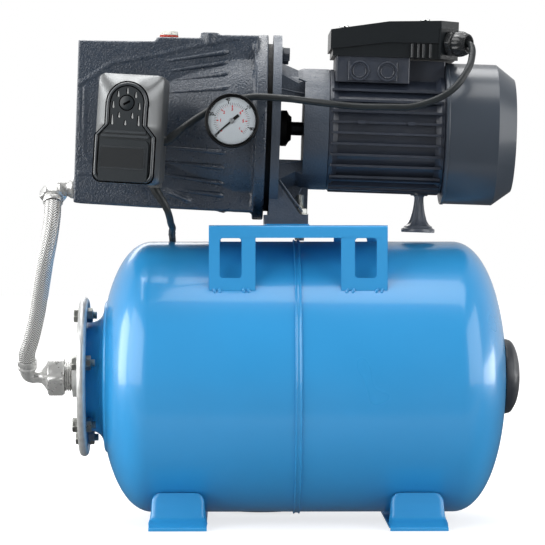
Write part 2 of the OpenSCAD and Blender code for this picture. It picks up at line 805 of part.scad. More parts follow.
module cooling_fan() {
    color("#2a2b2d") on_pump() difference() {
        union() {
            rod(fan_x, fan_x + 24, 11);
            rod(fan_x, fan_x + 2.5, 58);
            for (i = [0:6]) rotate([i * 360 / 7, 0, 0]) box(fan_x + 1, fan_x + 22, -1.2, 1.2, 9, 62);
        }
        rod(fan_x - cut, fan_x + 25, shaft_r);
    }
}

module fan_cover() {
    x0 = housing_end + 0.2;
    x1 = x0 + cowl_l;
    color("#3d4752") on_pump() difference() {
        lathe([[cowl_r, x0], [cowl_r, x1 - cowl_bevel], [cowl_end_r, x1], [0, x1], [0, x1 - cowl_t],
            [cowl_end_r - 1, x1 - cowl_t], [cowl_r - cowl_t, x1 - cowl_bevel - 1],
            [cowl_r - cowl_t, x0]]);
        for (r = [16, 26, 36, 46]) difference() {
            pipe(x1 - 5, x1 + cut, r + 2.5, r - 2.5);
            for (a = [0, 45, 90, 135]) rotate([a, 0, 0]) box(x1 - 6, x1 + 1, -2, 2, -60, 60);
        }
    }
}

// Terminal box

module plan_of_box(inset, z0, z1) {
    c = inset * tan(27);
    half = box_w / 2 - inset;
    translate([0, 0, z0]) linear_extrude(z1 - z0) polygon([[box_x0 + inset, -half],
        [corner_x - c, -half], [box_x1 - inset, -box_w / 2 + corner_y + c], [box_x1 - inset, half],
        [box_x0 + inset, half]]);
}

function box_side(inset, drop) = [[box_x0, 80.5 - drop], [88, 89 - drop], [box_x1, 90 - drop],
    [box_x1, 113.5 - inset], [90, 110.3 - inset], [box_x0, 100.3 - inset]];

module gland_corner(grow) {
    box(corner_x - 2 - grow, box_x1 + 1, -box_w / 2 - 1, -box_w / 2 + corner_y + 2 + grow,
        60, corner_high + grow);
}

module terminal_box() {
    inset = 2.5;
    color("#232526") on_pump() difference() {
        union() {
            difference() {
                plan_of_box(inset, block_top, 94);
                plan_of_box(inset + box_t, block_top + box_t, 95);
                side_plate(-60, 60, [[box_x0 - 1, 84.5], [88, 93], [box_x1, 94], [box_x1, 120],
                    [box_x0 - 1, 120]]);
            }
            intersection() {
                gland_corner(0);
                difference() {
                    plan_of_box(0, block_top, corner_high);
                    plan_of_box(box_t + 0.3, block_top + box_t, corner_high + 1);
                }
            }
            for (x = [45, 127], y = [-37, 37]) translate([x, y, block_top]) cylinder(h = 10, r = 4.5);
            for (i = [0:3]) box(112 + i * 7, 114 + i * 7, -box_w / 2 + 0.5, -box_w / 2 + 3.5,
                block_top, 88);
        }
        for (x = [45, 127], y = [-37, 37]) translate([x, y, block_top + 2]) cylinder(h = 10, r = 1.9);
        translate([75, 0, block_top - 1]) cylinder(h = 10, r = 12);
        translate(gland_at) rotate([0, 0, gland_turn]) rod(-8, 2, 8.1);
    }
}

module terminal_lid() {
    color("#26282a") on_pump() difference() {
        intersection() {
            side_plate(-60, 60, box_side(0, 0));
            plan_of_box(0, 70, 120);
        }
        intersection() {
            side_plate(-60, 60, box_side(box_t, 5));
            plan_of_box(box_t, 70, 120);
        }
        gland_corner(seat_gap);
        for (x = [45, 127], y = [-37, 37]) translate([x, y, 90]) cylinder(h = 30, r = 2.2);
    }
}

module lid_screws() {
    color(steel) on_pump() for (x = [45, 127], y = [-37, 37]) {
        top = x < 90 ? 110.3 - (90 - x) * 10 / 58.7 : 110.3 + (x - 90) * 3.2 / 72.5;
        translate([x, y, top + 0.6]) cylinder(h = 2.2, r = 3.4);
        translate([x, y, block_top + 3]) cylinder(h = top + 1.2 - block_top - 3, r = 1.8);
    }
}

module capacitor() {
    color("#dcdcd8") on_pump() translate([0, 18, block_top + box_t + 13]) {
        rod(66, 128, 13);
        rod(62, 66, 9);
    }
}

module cable_gland() {
    color("#1b1c1e") on_gland() {
        pipe(-6, 1, 8, cord_r + cord_gap);
        difference() {
            hex_rod(seat_gap, 8, gland_af);
            rod(-1, 9, cord_r + cord_gap);
        }
    }
}

module gland_nut() {
    color("#1b1c1e") on_gland() difference() {
        union() {
            hex_rod(8, 17, gland_af);
            cone(17, 23, 11.5, 9.5);
        }
        rod(7, 27, cord_r + cord_gap);
        cone(16, 24, cord_r, 8);
    }
}

module motor_foot() {
    top = -fins_out - 0.9;
    low = -102.6;
    color("#2c3138") on_pump() translate([129, 0, 0]) rotate_extrude() polygon([[0, low], [17.2, low],
        [17.2, low + 4], [12, low + 7], [8.5, low + 14], [6.3, low + 24], [4.8, top - 8], [4.8, top],
        [2.9, top], [2.9, top + 8], [0, top + 8]]);
}

// Pressure switch

module switch_outline(grow = 0) {
    rounded_box(switch_w + 2 * grow, switch_h + 2 * grow, 7 + grow);
}

module front_plate(y0, y1) {
    translate([0, -y0, 0]) rotate([90, 0, 0]) linear_extrude(y1 - y0) children();
}

module switch_base() {
    t = switch_base_t;
    wall = 2.5;
    color("#2a2c2f") on_switch() difference() {
        union() {
            difference() {
                front_plate(0, t) rounded_box(switch_w - 3, switch_h - 3, 6);
                front_plate(4, t + 1) rounded_box(switch_w - 3 - 2 * wall, switch_h - 3 - 2 * wall, 4);
            }
            for (x = [-13.2, 10.2]) box(x, x + 3, -21, -3, lever_v - 5, lever_v + 5);
            translate([mains_u, 0, -switch_h / 2 + 2]) front_plate(2, 14)
                square([12, 8], center = true);
        }
        translate([0, 0, coupling_v]) front_rod(-5, 5, coupling_r + slip_gap);
        translate([mains_u, -8, -switch_h / 2 - 5]) cylinder(h = 14, r = cord_r + cord_gap);
        translate([0, -11, lead_v]) rod(20, 40, cord_r + cord_gap);
        translate([0, -17, lever_v]) rod(-14, 14, 2.55);
        translate([-22, 0, 30]) front_rod(-3, 1, 2.5);
    }
}

module switch_cover() {
    y0 = switch_base_t + 0.2;
    mid = y0 + 20;
    y1 = y0 + switch_cover_t;
    wall = 2.2;
    color("#26282b") on_switch() difference() {
        union() {
            front_plate(y0, mid) switch_outline();
            front_plate(mid, y1) switch_face(0);
        }
        front_plate(y0 - 1, mid - wall) switch_outline(-wall);
        front_plate(mid - wall - 1, y1 - wall) switch_face(-wall);
        translate([1, 0, 25]) front_rod(-y1 - 1, -mid, 3.2);
    }
}

module switch_face(grow) {
    translate([0, -27 + 0.1]) rounded_box(62 + 2 * grow, 53 + 2 * grow, 7 + grow);
    translate([1, 25]) circle(22 + grow);
    translate([1, 6]) square([44 + 2 * grow, 40], center = true);
}

module cover_screw() {
    y1 = switch_base_t + 0.2 + switch_cover_t;
    color("#1e1f22") on_switch() translate([1, 0, 25]) difference() {
        union() {
            front_rod(-y1 - 1.5, -y1, 7.5);
            front_rod(-y1 - 0.5, -y1 + 12, 2.8);
        }
        rotate([0, -30, 0]) box(-4.5, 4.5, -y1 - 2, -y1 - 0.7, -0.8, 0.8);
    }
}

module switch_coupling() {
    color("goldenrod") on_switch() translate([0, 0, coupling_v]) difference() {
        union() {
            front_rod(-4, 45, coupling_r);
            translate([0, 14, 0]) rotate([90, 0, 0]) cylinder(h = 9, r = 19 / sqrt(3), $fn = 6);
        }
        front_rod(-3, 46, 4);
        front_rod(-5, 0, 3.05);
    }
}

// The plunger passes from the coupling to the lever, which turns about a pin at the base
module switch_plunger() {
    color("#8d8f92") on_switch() translate([0, 0, coupling_v]) {
        front_rod(-15.5, 1, 3);
    }
}

module contact_lever() {
    color(steel) on_switch() {
        box(-8, 8, -18, -16, -40, lever_v);
        translate([0, -17, lever_v]) rod(-13, 13, 2.5);
    }
}

module range_spring() {
    color(steel) on_switch() translate([0, 0, -8]) front_rod(-15.8, -4, 5);
}

// Gauge

module on_gauge() {
    on_pump() translate([gauge_at[0], 0, gauge_at[1]]) children();
}

module gauge_case() {
    back = gauge_front + gauge_t;
    color("#15161a") on_gauge() difference() {
        union() {
            front_rod(gauge_front, back, gauge_r);
            front_rod(back - 1, -92.1, 7);
            front_rod(-93, -hollow_r - 3, 6.5);
            translate([0, -92.2, 0]) rotate([90, 0, 0]) cylinder(h = 9, r = 14 / sqrt(3), $fn = 6);
        }
        front_rod(gauge_front - 1, gauge_front + 6.5, gauge_r - gauge_wall);
        front_rod(gauge_front + 5, back - gauge_wall, gauge_r - gauge_wall - 1);
    }
}

module gauge_dial() {
    color("white") on_gauge() difference() {
        front_rod(gauge_front + 5.5, gauge_front + 6.5, gauge_r - gauge_wall - 0.1);
        front_rod(gauge_front, gauge_front + 8, 1.3);
    }
}

module gauge_glass() {
    color("lightcyan") on_gauge() front_rod(gauge_front + 0.6, gauge_front + 2.2, gauge_r - gauge_wall - 0.1);
}

module gauge_pointer() {
    color("black") on_gauge() {
        front_rod(gauge_front + 3.6, gauge_front + 5, 2.6);
        front_rod(gauge_front + 4.5, gauge_front + 12, 1.25);
        rotate([0, -pointer_rest, 0]) side_plate(gauge_front + 4, gauge_front + 4.7,
            [[-8, -1.3], [-2, -0.8], [19, -0.3], [19, 0.3], [-2, 0.8], [-8, 1.3]]);
    }
}

// Hose and its elbows

module upper_elbow() {
    bore = 5;
    color(steel) difference() {
        union() {
            translate(upper_corner) {
                rotate([0, pump_tilt, 0]) {
                    rod(0, hose_reach, 9.5);
                    rod(hose_reach - 1, hose_reach + 20, hose_port_r - slip_gap);
                }
                sphere(r = 10.4);
                rotate([180 - upper_lean, 0, 0]) {
                    cylinder(h = 12, r = 8.4);
                    translate([0, 0, 4]) cylinder(h = 10, r = 24 / sqrt(3), $fn = 6);
                    translate([0, 0, 14]) cylinder(h = 6, r = hose_d / 2 + 1);
                }
            }
        }
        translate(upper_corner) {
            sphere(r = bore + 0.8);
            rotate([0, pump_tilt, 0]) rod(0, hose_reach + 21, bore);
            rotate([180 - upper_lean, 0, 0]) cylinder(h = 21, r = bore);
        }
    }
}

module braided_hose() {
    color("#b8babb") cord(hose_route, hose_d, 12);
}

module lower_elbow() {
    bore = 4.5;
    hex_x = flange_face_x - collar_l - 25.5;
    thread_end = flange_face_x;
    color("#c9c6bd") difference() {
        union() {
            translate(lower_corner) {
                sphere(r = 8.6);
                rod(0, hex_x - lower_corner[0] + 3, 6.4);
                rotate([lower_lean, 0, 0]) {
                    cylinder(h = 12, r = 7.6);
                    translate([0, 0, 11]) cylinder(h = 13, r = hose_d / 2 + 1);
                }
            }
            on_tank() {
                cone(hex_x - 5, hex_x, 8, 14);
                hex_rod(hex_x, hex_x + 17, 36);
                rod(hex_x + 17, thread_end, port_r - slip_gap);
            }
        }
        translate(lower_corner) {
            sphere(r = bore + 0.5);
            rod(0, thread_end - lower_corner[0] + 1, bore);
            rotate([lower_lean, 0, 0]) cylinder(h = 25, r = bore);
        }
    }
}

// Cords

module motor_lead() {
    color("#161718") cord(lead_route, cord_d);
}

module mains_cord() {
    color("#161718") cord(mains_route, cord_d);
}

module mains_coil() {
    thick = coil_turn_rows * cord_d;
    color("#161718") translate([coil_at[0], coil_at[1], 0.2]) rotate_extrude()
        translate([coil_r - thick / 2, 0]) square([thick, thick]);
}

module mains_plug() {
    color("#161718") translate([plug_start[0], plug_start[1], plug_z]) rotate([0, 0, plug_turn]) {
        cone(0, 26, 5, 7);
        cone(25, 34, 7, 15);
        cone(34, 40, 15, plug_r);
        rod(40, 62, plug_r);
    }
    color(steel) translate([plug_start[0], plug_start[1], plug_z]) rotate([0, 0, plug_turn])
        for (y = [-9.5, 9.5]) translate([0, y, 0]) rod(61, 81, 2.4);
}

tank_shell_left();
tank_shell_right();
tank_weld_seam();
tank_flange();
flange_fasteners();
tank_membrane();
air_valve();
valve_cap();
tank_foot_left();
tank_foot_right();
pump_platform();
pump_casing();
seal_plate();
motor_bracket();
casing_bolts();
platform_fasteners();
priming_plug();
priming_gasket();
drain_plug();
ejector();
diffuser();
impeller();
seal_ring();
seal_seat();
water_slinger();
motor_shaft();
rotor_core();
stator_core();
stator_windings();
motor_housing();
shaft_bearings();
rear_shield();
tie_bolts();
cooling_fan();
fan_cover();
terminal_box();
terminal_lid();
lid_screws();
capacitor();
cable_gland();
gland_nut();
motor_foot();
switch_base();
switch_cover();
cover_screw();
switch_coupling();
switch_plunger();
contact_lever();
range_spring();
gauge_case();
gauge_dial();
gauge_glass();
gauge_pointer();
upper_elbow();
braided_hose();
lower_elbow();
motor_lead();
mains_cord();
mains_coil();
mains_plug();
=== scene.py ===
# Booster pump set: the looks of its pieces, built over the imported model
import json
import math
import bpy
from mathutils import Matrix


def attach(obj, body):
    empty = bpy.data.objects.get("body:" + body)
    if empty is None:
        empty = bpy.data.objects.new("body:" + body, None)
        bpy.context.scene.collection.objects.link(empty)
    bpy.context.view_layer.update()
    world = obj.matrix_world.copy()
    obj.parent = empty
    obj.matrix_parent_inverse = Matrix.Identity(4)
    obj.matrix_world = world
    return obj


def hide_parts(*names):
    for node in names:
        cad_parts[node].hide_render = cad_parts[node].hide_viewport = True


bl_info = {
    "name": "Booster pump set",
    "version": (1, 0, 0),
    "blender": (4, 5, 0),
    "location": "3D View > Sidebar > Pump Set",
    "description": "Builds the looks of a booster pump set over its CAD model",
    "category": "Object",
}

import bmesh
import bpy
from bpy.props import FloatProperty, FloatVectorProperty, IntProperty, PointerProperty
from mathutils import Matrix, Vector, noise

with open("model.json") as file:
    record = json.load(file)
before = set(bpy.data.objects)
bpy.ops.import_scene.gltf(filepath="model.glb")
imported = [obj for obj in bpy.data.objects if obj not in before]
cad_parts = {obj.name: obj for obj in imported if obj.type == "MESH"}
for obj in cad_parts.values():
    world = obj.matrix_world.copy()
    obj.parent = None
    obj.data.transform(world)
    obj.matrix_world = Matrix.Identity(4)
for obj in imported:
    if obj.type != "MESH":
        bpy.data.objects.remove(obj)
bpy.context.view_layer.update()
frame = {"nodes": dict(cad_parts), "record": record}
nodes = frame["nodes"]
ROOT = "pump_set"


# Places, in millimetres
def turned(degrees, axis):
    return Matrix.Rotation(math.radians(degrees), 4, axis)


def moved(x, y, z):
    return Matrix.Translation((x, y, z))


TO_Z = turned(-90, "Y")
TO_FRONT = turned(-90, "Z")
UPRIGHT = turned(90, "X")
TANK = moved(0, 0, 147.5)
PUMP = moved(0, 0, 402.7) @ turned(1.9, "Y")
SWITCH = moved(-161.5, -96.8, 398) @ turned(-10, "Z") @ turned(3.5, "Y")
GAUGE = PUMP @ moved(-66.1, 0, 1.2)
GLAND = PUMP @ moved(152.75, -35, 90) @ turned(-36.87, "Z")

# The camera, in millimetres
CAMERA = (-66, -3000, 306)
CAMERA_AIM = (-24.2, 0, 254.6)

# The picture's point straight ahead of the camera, and the size of a point at the tank's middle
STRAIGHT_AHEAD = (232, 222.6)
POINT = 1.03

# Places in the picture, in its points from the left and from the top
# Raised lines on the casing: each line's radius in millimetres, and its points
CASING_EDGES = (
    (1.7, ((85.4, 87), (84.6, 120), (84.2, 152), (92, 161.5))),
    (1.3, ((80.5, 93), (80.2, 120), (79.8, 156))),
    (1.9, ((78.6, 84.6), (95, 74.4), (111, 64.2), (132, 59.6), (160, 54.5), (190, 47.4), (224, 40.6),
           (240, 38.5))),
    (1.9, ((78.4, 172.5), (100, 174), (120, 175.5), (140, 178), (163, 189), (190, 201), (224, 211.5))),
    (1.1, ((255.5, 43), (254.6, 90), (253.6, 150), (252.4, 208))),
)

# Ribs on the casing: each rib's height in millimetres, its start and its end
CASING_RIBS = (
    (3.2, (166.8, 61.3), (229, 51.9)), (3.0, (172, 71), (229.3, 62.2)),
    (2.6, (176, 80.4), (229.3, 74.2)), (2.4, (168, 93.4), (229, 88.9)),
    (3.0, (163, 147.2), (226, 152.8)), (3.4, (160, 160.6), (224.5, 168)),
    (3.4, (160, 174), (224, 183.2)), (3.0, (176, 189.6), (224, 195.4)),
)
TOP_BOSS = (210, 40)

# Raised lines on the bracket: each line's depth in millimetres, and its points
BRACKET_LINES = (
    (40, ((281.5, 89), (297, 92.5), (318, 96))), (40, ((299, 79), (311, 83.5), (323, 88))),
    (40, ((279, 164.5), (297, 161.4), (318, 158.6))), (40, ((298, 172), (308, 168.4), (320, 165.4))),
    (60, ((279.5, 180), (290, 194.6), (302.6, 211.5))), (40, ((293, 202), (298, 194.4), (301, 188))),
)
BOX_RIBS = ((412.2, 52), (418.4, 52), (423.4, 52), (430.4, 52))
PLATE_CORNERS = ((102.2, 147.4), (143.4, 168.6))

# Vent slots of the switch: each slot's length in millimetres, and its middle
SWITCH_SLOTS = (
    (5.6, (119, 94.1)), (5.6, (128.3, 91.1)), (5.6, (136.5, 95.3)), (6.4, (113.9, 104.7)),
    (6.4, (140, 106.8)), (9.6, (112.7, 119.6)), (5.2, (119.6, 115.1)), (5.4, (132.8, 116)),
    (10, (139, 121)), (4.8, (125.7, 123)),
)
SWITCH_SCREW = (127.1, 103)

# Cord routes, in millimetres, as in the CAD model
HOSE = [(-246.9, -51.9, 325.3), (-247.1, -59, 313), (-248.3, -63.8, 300.5), (-250.1, -66, 288),
        (-252.3, -65.8, 276.5), (-254.5, -63.7, 265), (-256.6, -59.5, 253), (-258.8, -53.9, 241),
        (-261, -48.2, 229), (-263, -43.3, 218.5), (-265.6, -38.3, 207), (-268.6, -33, 195.5),
        (-271.8, -27.2, 184.5), (-275.2, -20.4, 174.7), (-276, -14.7, 167)]
LEAD = [(-138.5, -112, 387.5), (-131, -113.5, 387), (-125, -114, 391), (-118, -113, 397),
        (-106, -109, 406), (-94, -105, 414), (-82, -102, 421), (-70, -101, 426), (-58, -101, 429),
        (-46, -101, 431), (-34, -101, 431), (-20, -99, 430), (-6, -97, 429), (12, -90, 427),
        (32, -83, 425), (52, -80, 423), (72, -79, 422), (92, -79, 422), (112, -80, 422),
        (129, -81, 426), (146, -82, 433), (160, -80, 444), (170, -74, 458), (174, -69, 466),
        (176, -63, 473), (177, -57, 480), (176, -52, 485), (173, -48, 487), (169, -45, 487)]
MAINS = [(-142, -108.3, 350), (-142.6, -108.3, 341.5), (-140, -109, 335), (-134, -110, 326),
         (-130, -107, 318), (-128, -98, 311), (-127, -86, 305), (-126, -71, 302), (-126, -54, 300),
         (-127, -36, 297), (-127, -18, 295), (-128, 0, 294), (-128, 20, 293), (-128, 40, 289),
         (-128, 59, 282), (-128, 76, 273), (-128, 93, 261), (-128, 107, 247), (-128, 120, 231),
         (-128, 130, 213), (-128, 138, 195), (-128, 142, 175), (-128, 145, 155), (-128, 146, 134),
         (-128, 146, 116), (-128, 146, 98), (-127, 147, 80), (-124, 148, 62), (-119, 149, 45),
         (-110, 150, 30), (-99, 151, 18), (-86, 152, 10), (-72, 153, 5), (-58, 154, 4)]
COIL_AT = (-35, 112)
COIL_R = 42
COIL_TO_PLUG = [(-16, 150.3, 18.2), (-8, 148, 18.6), (0, 145.9, 18.7)]
PLUG = moved(-8, 148, 18.7) @ turned(-15, "Z")


# Mesh tools
def bridge(bm, a, b):
    """Joins two rings of vertices; a ring of one vertex is a point."""
    count = max(len(a), len(b))
    if count == 1:
        return
    for k in range(count):
        n = (k + 1) % count
        if len(a) == 1:
            bm.faces.new((a[0], b[k], b[n]))
        elif len(b) == 1:
            bm.faces.new((a[k], b[0], a[n]))
        else:
            bm.faces.new((a[k], b[k], b[n], a[n]))


def turn(bm, profile, steps=96, place=None, closed=True, radius=None):
    """Turns (radius, along) points about the X axis."""
    place = place or Matrix()
    rings = []
    for r, x in profile:
        if r < 1e-6:
            rings.append([bm.verts.new(place @ Vector((x, 0, 0)))])
            continue
        ring = []
        for k in range(steps):
            a = 2 * math.pi * k / steps
            rr = radius(r, x, a) if radius else r
            ring.append(bm.verts.new(place @ Vector((x, -rr * math.sin(a), rr * math.cos(a)))))
        rings.append(ring)
    for a, b in zip(rings, rings[1:]):
        bridge(bm, a, b)
    if closed:
        bridge(bm, rings[-1], rings[0])


def loft(bm, loops, capped=True):
    """Joins loops of points, each with the same count."""
    rings = [[bm.verts.new(p) for p in loop] for loop in loops]
    for a, b in zip(rings, rings[1:]):
        bridge(bm, a, b)
    if capped:
        bm.faces.new(rings[0])
        bm.faces.new(rings[-1])


def circle(r, steps):
    """Points round a circle, the last one before the first again."""
    return [(r * math.cos(2 * math.pi * k / steps), r * math.sin(2 * math.pi * k / steps))
            for k in range(steps)]


def rounded(w, h, r, cx=0.0, cy=0.0, n=6):
    """The outline of a rectangle with round corners of n steps each."""
    points = []
    for sx, sy, start in ((1, 1, 0), (-1, 1, 90), (-1, -1, 180), (1, -1, 270)):
        x, y = cx + sx * (w / 2 - r), cy + sy * (h / 2 - r)
        for k in range(n + 1):
            a = math.radians(start + 90 * k / n)
            points.append((x + r * math.cos(a), y + r * math.sin(a)))
    return points


def plate(bm, outline, low, high, place=None, ease=0.0, holes=()):
    """A flat plate with holes, from low to high along Z, its edges eased."""
    part = bmesh.new()
    edges = []
    for loop in (outline, *holes):
        verts = [part.verts.new((x, y, low)) for x, y in loop]
        edges += [part.edges.new((verts[i - 1], verts[i])) for i in range(len(verts))]
    filled = bmesh.ops.triangle_fill(part, use_beauty=True, use_dissolve=False, edges=edges)
    faces = [g for g in filled["geom"] if isinstance(g, bmesh.types.BMFace)]
    grown = bmesh.ops.extrude_face_region(part, geom=faces)
    top = [g for g in grown["geom"] if isinstance(g, bmesh.types.BMVert)]
    bmesh.ops.translate(part, verts=top, vec=(0, 0, high - low))
    bmesh.ops.recalc_face_normals(part, faces=part.faces)
    if ease:
        sharp = [e for e in part.edges if len(e.link_faces) == 2 and e.calc_face_angle(0) > 0.9]
        bmesh.ops.bevel(part, geom=sharp, offset=ease, segments=2, affect="EDGES", clamp_overlap=True)
    add(bm, part, place)


def add(bm, part, place=None):
    """Puts one mesh into another and frees it."""
    if place is not None:
        bmesh.ops.transform(part, matrix=place, verts=part.verts)
    mesh = bpy.data.meshes.new("part")
    part.to_mesh(mesh)
    part.free()
    bm.from_mesh(mesh)
    bpy.data.meshes.remove(mesh)


def hexagon(bm, x0, x1, across, place=None, bore=0.0):
    """A hexagon along X with its ends chamfered as on a nut or a bolt's head."""
    steps = 72
    flat = across / 2
    corner = across / math.sqrt(3)
    least = flat * 0.985
    drop = (corner - flat) * 0.62
    stops = [(x0, 0.0), (x0 + drop * 0.5, 0.5), (x0 + drop, 1.0),
             (x1 - drop, 1.0), (x1 - drop * 0.5, 0.5), (x1, 0.0)]
    loops = []
    for x, grow in stops:
        loop = []
        for c, s in circle(1, steps):
            side = (math.atan2(s, c) + math.pi / 6) % (math.pi / 3) - math.pi / 6
            r = min(flat / math.cos(side), least + (corner - least) * grow)
            loop.append((x, r * s, r * c))
        loops.append(loop)
    if bore:
        loops += [[(x, s, c) for c, s in circle(bore, steps)] for x in (x1, x0)]
        loops.append(loops[0])
    part = bmesh.new()
    loft(part, loops, capped=not bore)
    bmesh.ops.remove_doubles(part, verts=part.verts, dist=1e-5)
    add(bm, part, place)


def thread(bm, x0, x1, r, place):
    """A threaded shank along X, its ends cut back."""
    pitch, depth = 1.25, 0.5
    count = int((x1 - x0) / pitch)
    step = (x1 - x0) / count
    profile = [(0, x0), (r - depth, x0)]
    for k in range(count):
        x = x0 + step * (k + 0.5)
        profile += [(r, x), (r - depth, x + step * 0.5)]
    profile += [(r - depth, x1), (0, x1)]
    turn(bm, profile, 32, place, closed=False)


def bolt(bm, place, head, across, r, length, tip):
    """A hex bolt: its head stands on X 0 and its shank runs back along X to its threaded tip."""
    hexagon(bm, 0, head, across, place)
    turn(bm, [(0, -0.01), (across / 2 * 0.98, -0.01), (across / 2 * 0.98, 0.4), (0, 0.4)], 40, place)
    turn(bm, [(0, 0), (r, 0), (r, -length + tip), (0, -length + tip)], 32, place)
    thread(bm, -length, -length + tip, r, place)


def smooth_line(points, cuts=6):
    """A smooth curve through the points."""
    p = [Vector(q) for q in points]
    line = []
    for i in range(len(p) - 1):
        a, b, c, d = p[max(i - 1, 0)], p[i], p[i + 1], p[min(i + 2, len(p) - 1)]
        for k in range(cuts):
            t = k / cuts
            line.append(0.5 * ((2 * b) + (c - a) * t + (2 * a - 5 * b + 4 * c - d) * t * t
                               + (3 * b - a - 3 * c + d) * t * t * t))
    line.append(p[-1])
    return line


def along(line):
    """The distance of each point from the line's start."""
    run = [0.0]
    for a, b in zip(line, line[1:]):
        run.append(run[-1] + (b - a).length)
    return run


def rings_on(line):
    """A point with two crossing directions for each point of a line, without twist."""
    found = []
    side = Vector((0.3, 1, 0.1))
    for i, p in enumerate(line):
        ahead = (line[min(i + 1, len(line) - 1)] - line[max(i - 1, 0)]).normalized()
        side = (side - ahead * side.dot(ahead)).normalized()
        found.append((p, side.copy(), ahead.cross(side)))
    return found


def sleeve(bm, line, radii, steps=24):
    """A solid sleeve on a line with a radius at each point."""
    loft(bm, [[p + u * c + v * s for c, s in circle(r, steps)]
              for (p, u, v), r in zip(rings_on(line), radii)])


def piece(name, bm, material, body=ROOT, place=None, replaces=(), crease=32):
    """Makes a Blender object of a mesh in millimetres and hangs it on its CAD body."""
    missing = [n for n in replaces if n not in nodes]
    if missing or not bm.verts:
        raise RuntimeError(f"{name}: nothing was built, or these nodes are missing: {missing}")
    if place is not None:
        bmesh.ops.transform(bm, matrix=place, verts=bm.verts)
    bmesh.ops.scale(bm, vec=(0.001, 0.001, 0.001), verts=bm.verts)
    bmesh.ops.recalc_face_normals(bm, faces=bm.faces)
    limit = math.radians(crease)
    for face in bm.faces:
        face.smooth = True
    for edge in bm.edges:
        edge.smooth = len(edge.link_faces) != 2 or edge.calc_face_angle(0) < limit
    mesh = bpy.data.meshes.new(name)
    bm.to_mesh(mesh)
    bm.free()
    return seat(bpy.data.objects.new(name, mesh), material, body, replaces)


def seat(obj, material, body=ROOT, replaces=()):
    """Links an object, gives it its finish and hangs it on its CAD body."""
    bpy.context.scene.collection.objects.link(obj)
    obj.data.materials.append(finish(material))
    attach(obj, body)
    if replaces:
        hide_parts(*replaces)
    return obj


def cad_copy(node, place):
    """A CAD node's mesh in millimetres, in a place's own frame."""
    source = nodes[node]
    bm = bmesh.new()
    bm.from_mesh(source.data)
    bmesh.ops.transform(bm, matrix=source.matrix_world, verts=bm.verts)
    bmesh.ops.scale(bm, vec=(1000, 1000, 1000), verts=bm.verts)
    bmesh.ops.transform(bm, matrix=place.inverted(), verts=bm.verts)
    return bm


def evaluated_mesh(obj):
    """The mesh of an object with its modifiers; the object is removed."""
    bpy.context.scene.collection.objects.link(obj)
    mesh = bpy.data.meshes.new_from_object(obj.evaluated_get(bpy.context.evaluated_depsgraph_get()))
    bpy.data.objects.remove(obj)
    bm = bmesh.new()
    bm.from_mesh(mesh)
    bpy.data.meshes.remove(mesh)
    return bm


def cast(name, node, material, place, voxel, rounds, extra):
    """Makes a casting of a CAD node and what is cast on to it, with soft edges."""
    bm = cad_copy(node, place)
    extra(bm)
    mesh = bpy.data.meshes.new(name)
    bm.to_mesh(mesh)
    bm.free()
    raw = bpy.data.objects.new(name + "_raw", mesh)
    remesh = raw.modifiers.new("remesh", "REMESH")
    remesh.mode = "VOXEL"
    remesh.voxel_size = voxel
    soften = raw.modifiers.new("soften", "SMOOTH")
    soften.factor = 0.5
    soften.iterations = rounds
    piece(name, evaluated_mesh(raw), material, place=place, replaces=(node,), crease=60)


def eased(name, node, material, place, width, extra=None):
    """Copies a CAD node with its sharp edges eased, and adds what is moulded on to it."""
    bm = cad_copy(node, place)
    bmesh.ops.remove_doubles(bm, verts=bm.verts, dist=0.003)
    bmesh.ops.dissolve_limit(bm, angle_limit=math.radians(1), verts=bm.verts, edges=bm.edges)
    sharp = [e for e in bm.edges if len(e.link_faces) == 2 and e.calc_face_angle(0) > 0.5]
    bmesh.ops.bevel(bm, geom=sharp, offset=width, segments=2, affect="EDGES", clamp_overlap=True)
    if extra:
        extra(bm)
    piece(name, bm, material, place=place, replaces=(node,), crease=24)


def picture_point(spot, place, depth):
    """Where a point of the picture lies on a flat face at a depth, along and up in the face's own frame."""
    right, up = (spot[0] - STRAIGHT_AHEAD[0]) * POINT, (STRAIGHT_AHEAD[1] - spot[1]) * POINT
    eye = place.inverted() @ Vector(CAMERA)
    far = place.inverted() @ Vector((CAMERA[0] + right, 0, CAMERA[2] + up))
    p = eye + (far - eye) * ((-depth - eye.y) / (far.y - eye.y))
    return p.x, p.z


# Shader nodes
def shader_node(tree, kind, inputs=None, **settings):
    """Adds a node; its inputs take values or the outputs of other nodes."""
    node = tree.nodes.new("ShaderNode" + kind)
    for name, value in settings.items():
        setattr(node, name, value)
    for key, value in (inputs or {}).items():
        if isinstance(value, bpy.types.NodeSocket):
            tree.links.new(value, node.inputs[key])
        else:
            node.inputs[key].default_value = value
    return node


def ramped(tree, source, start, end, low, high):
    """A value that runs from low to high while the source runs from start to end."""
    inputs = {"Value": source, "From Min": start, "From Max": end, "To Min": low, "To Max": high}
    return shader_node(tree, "MapRange", inputs).outputs["Result"]


def mixed(tree, factor, a, b):
    """The shader a where the factor is 0 and b where it is 1."""
    return shader_node(tree, "MixShader", {0: factor, 1: a, 2: b}).outputs[0]


def seen_directly(tree, path):
    """One where a ray comes from the camera, also through glass."""
    rays = {0: path["Is Camera Ray"], 1: path["Is Transmission Ray"]}
    return shader_node(tree, "Math", rays, operation="MAXIMUM").outputs[0]


def empty_tree(owner):
    """Turns on the nodes of a material or world and removes those that it starts with."""
    owner.use_nodes = True
    owner.node_tree.nodes.clear()
    return owner.node_tree


# Finishes
def tone(r, g, b):
    """A colour as a screen shows it, from 0 to 255, made linear."""
    return tuple(c / 12.92 / 255 if c <= 10.3 else ((c / 255 + 0.055) / 1.055) ** 2.4 for c in (r, g, b))


def scaled(colour, k):
    return tuple(min(1.0, c * k) for c in colour)


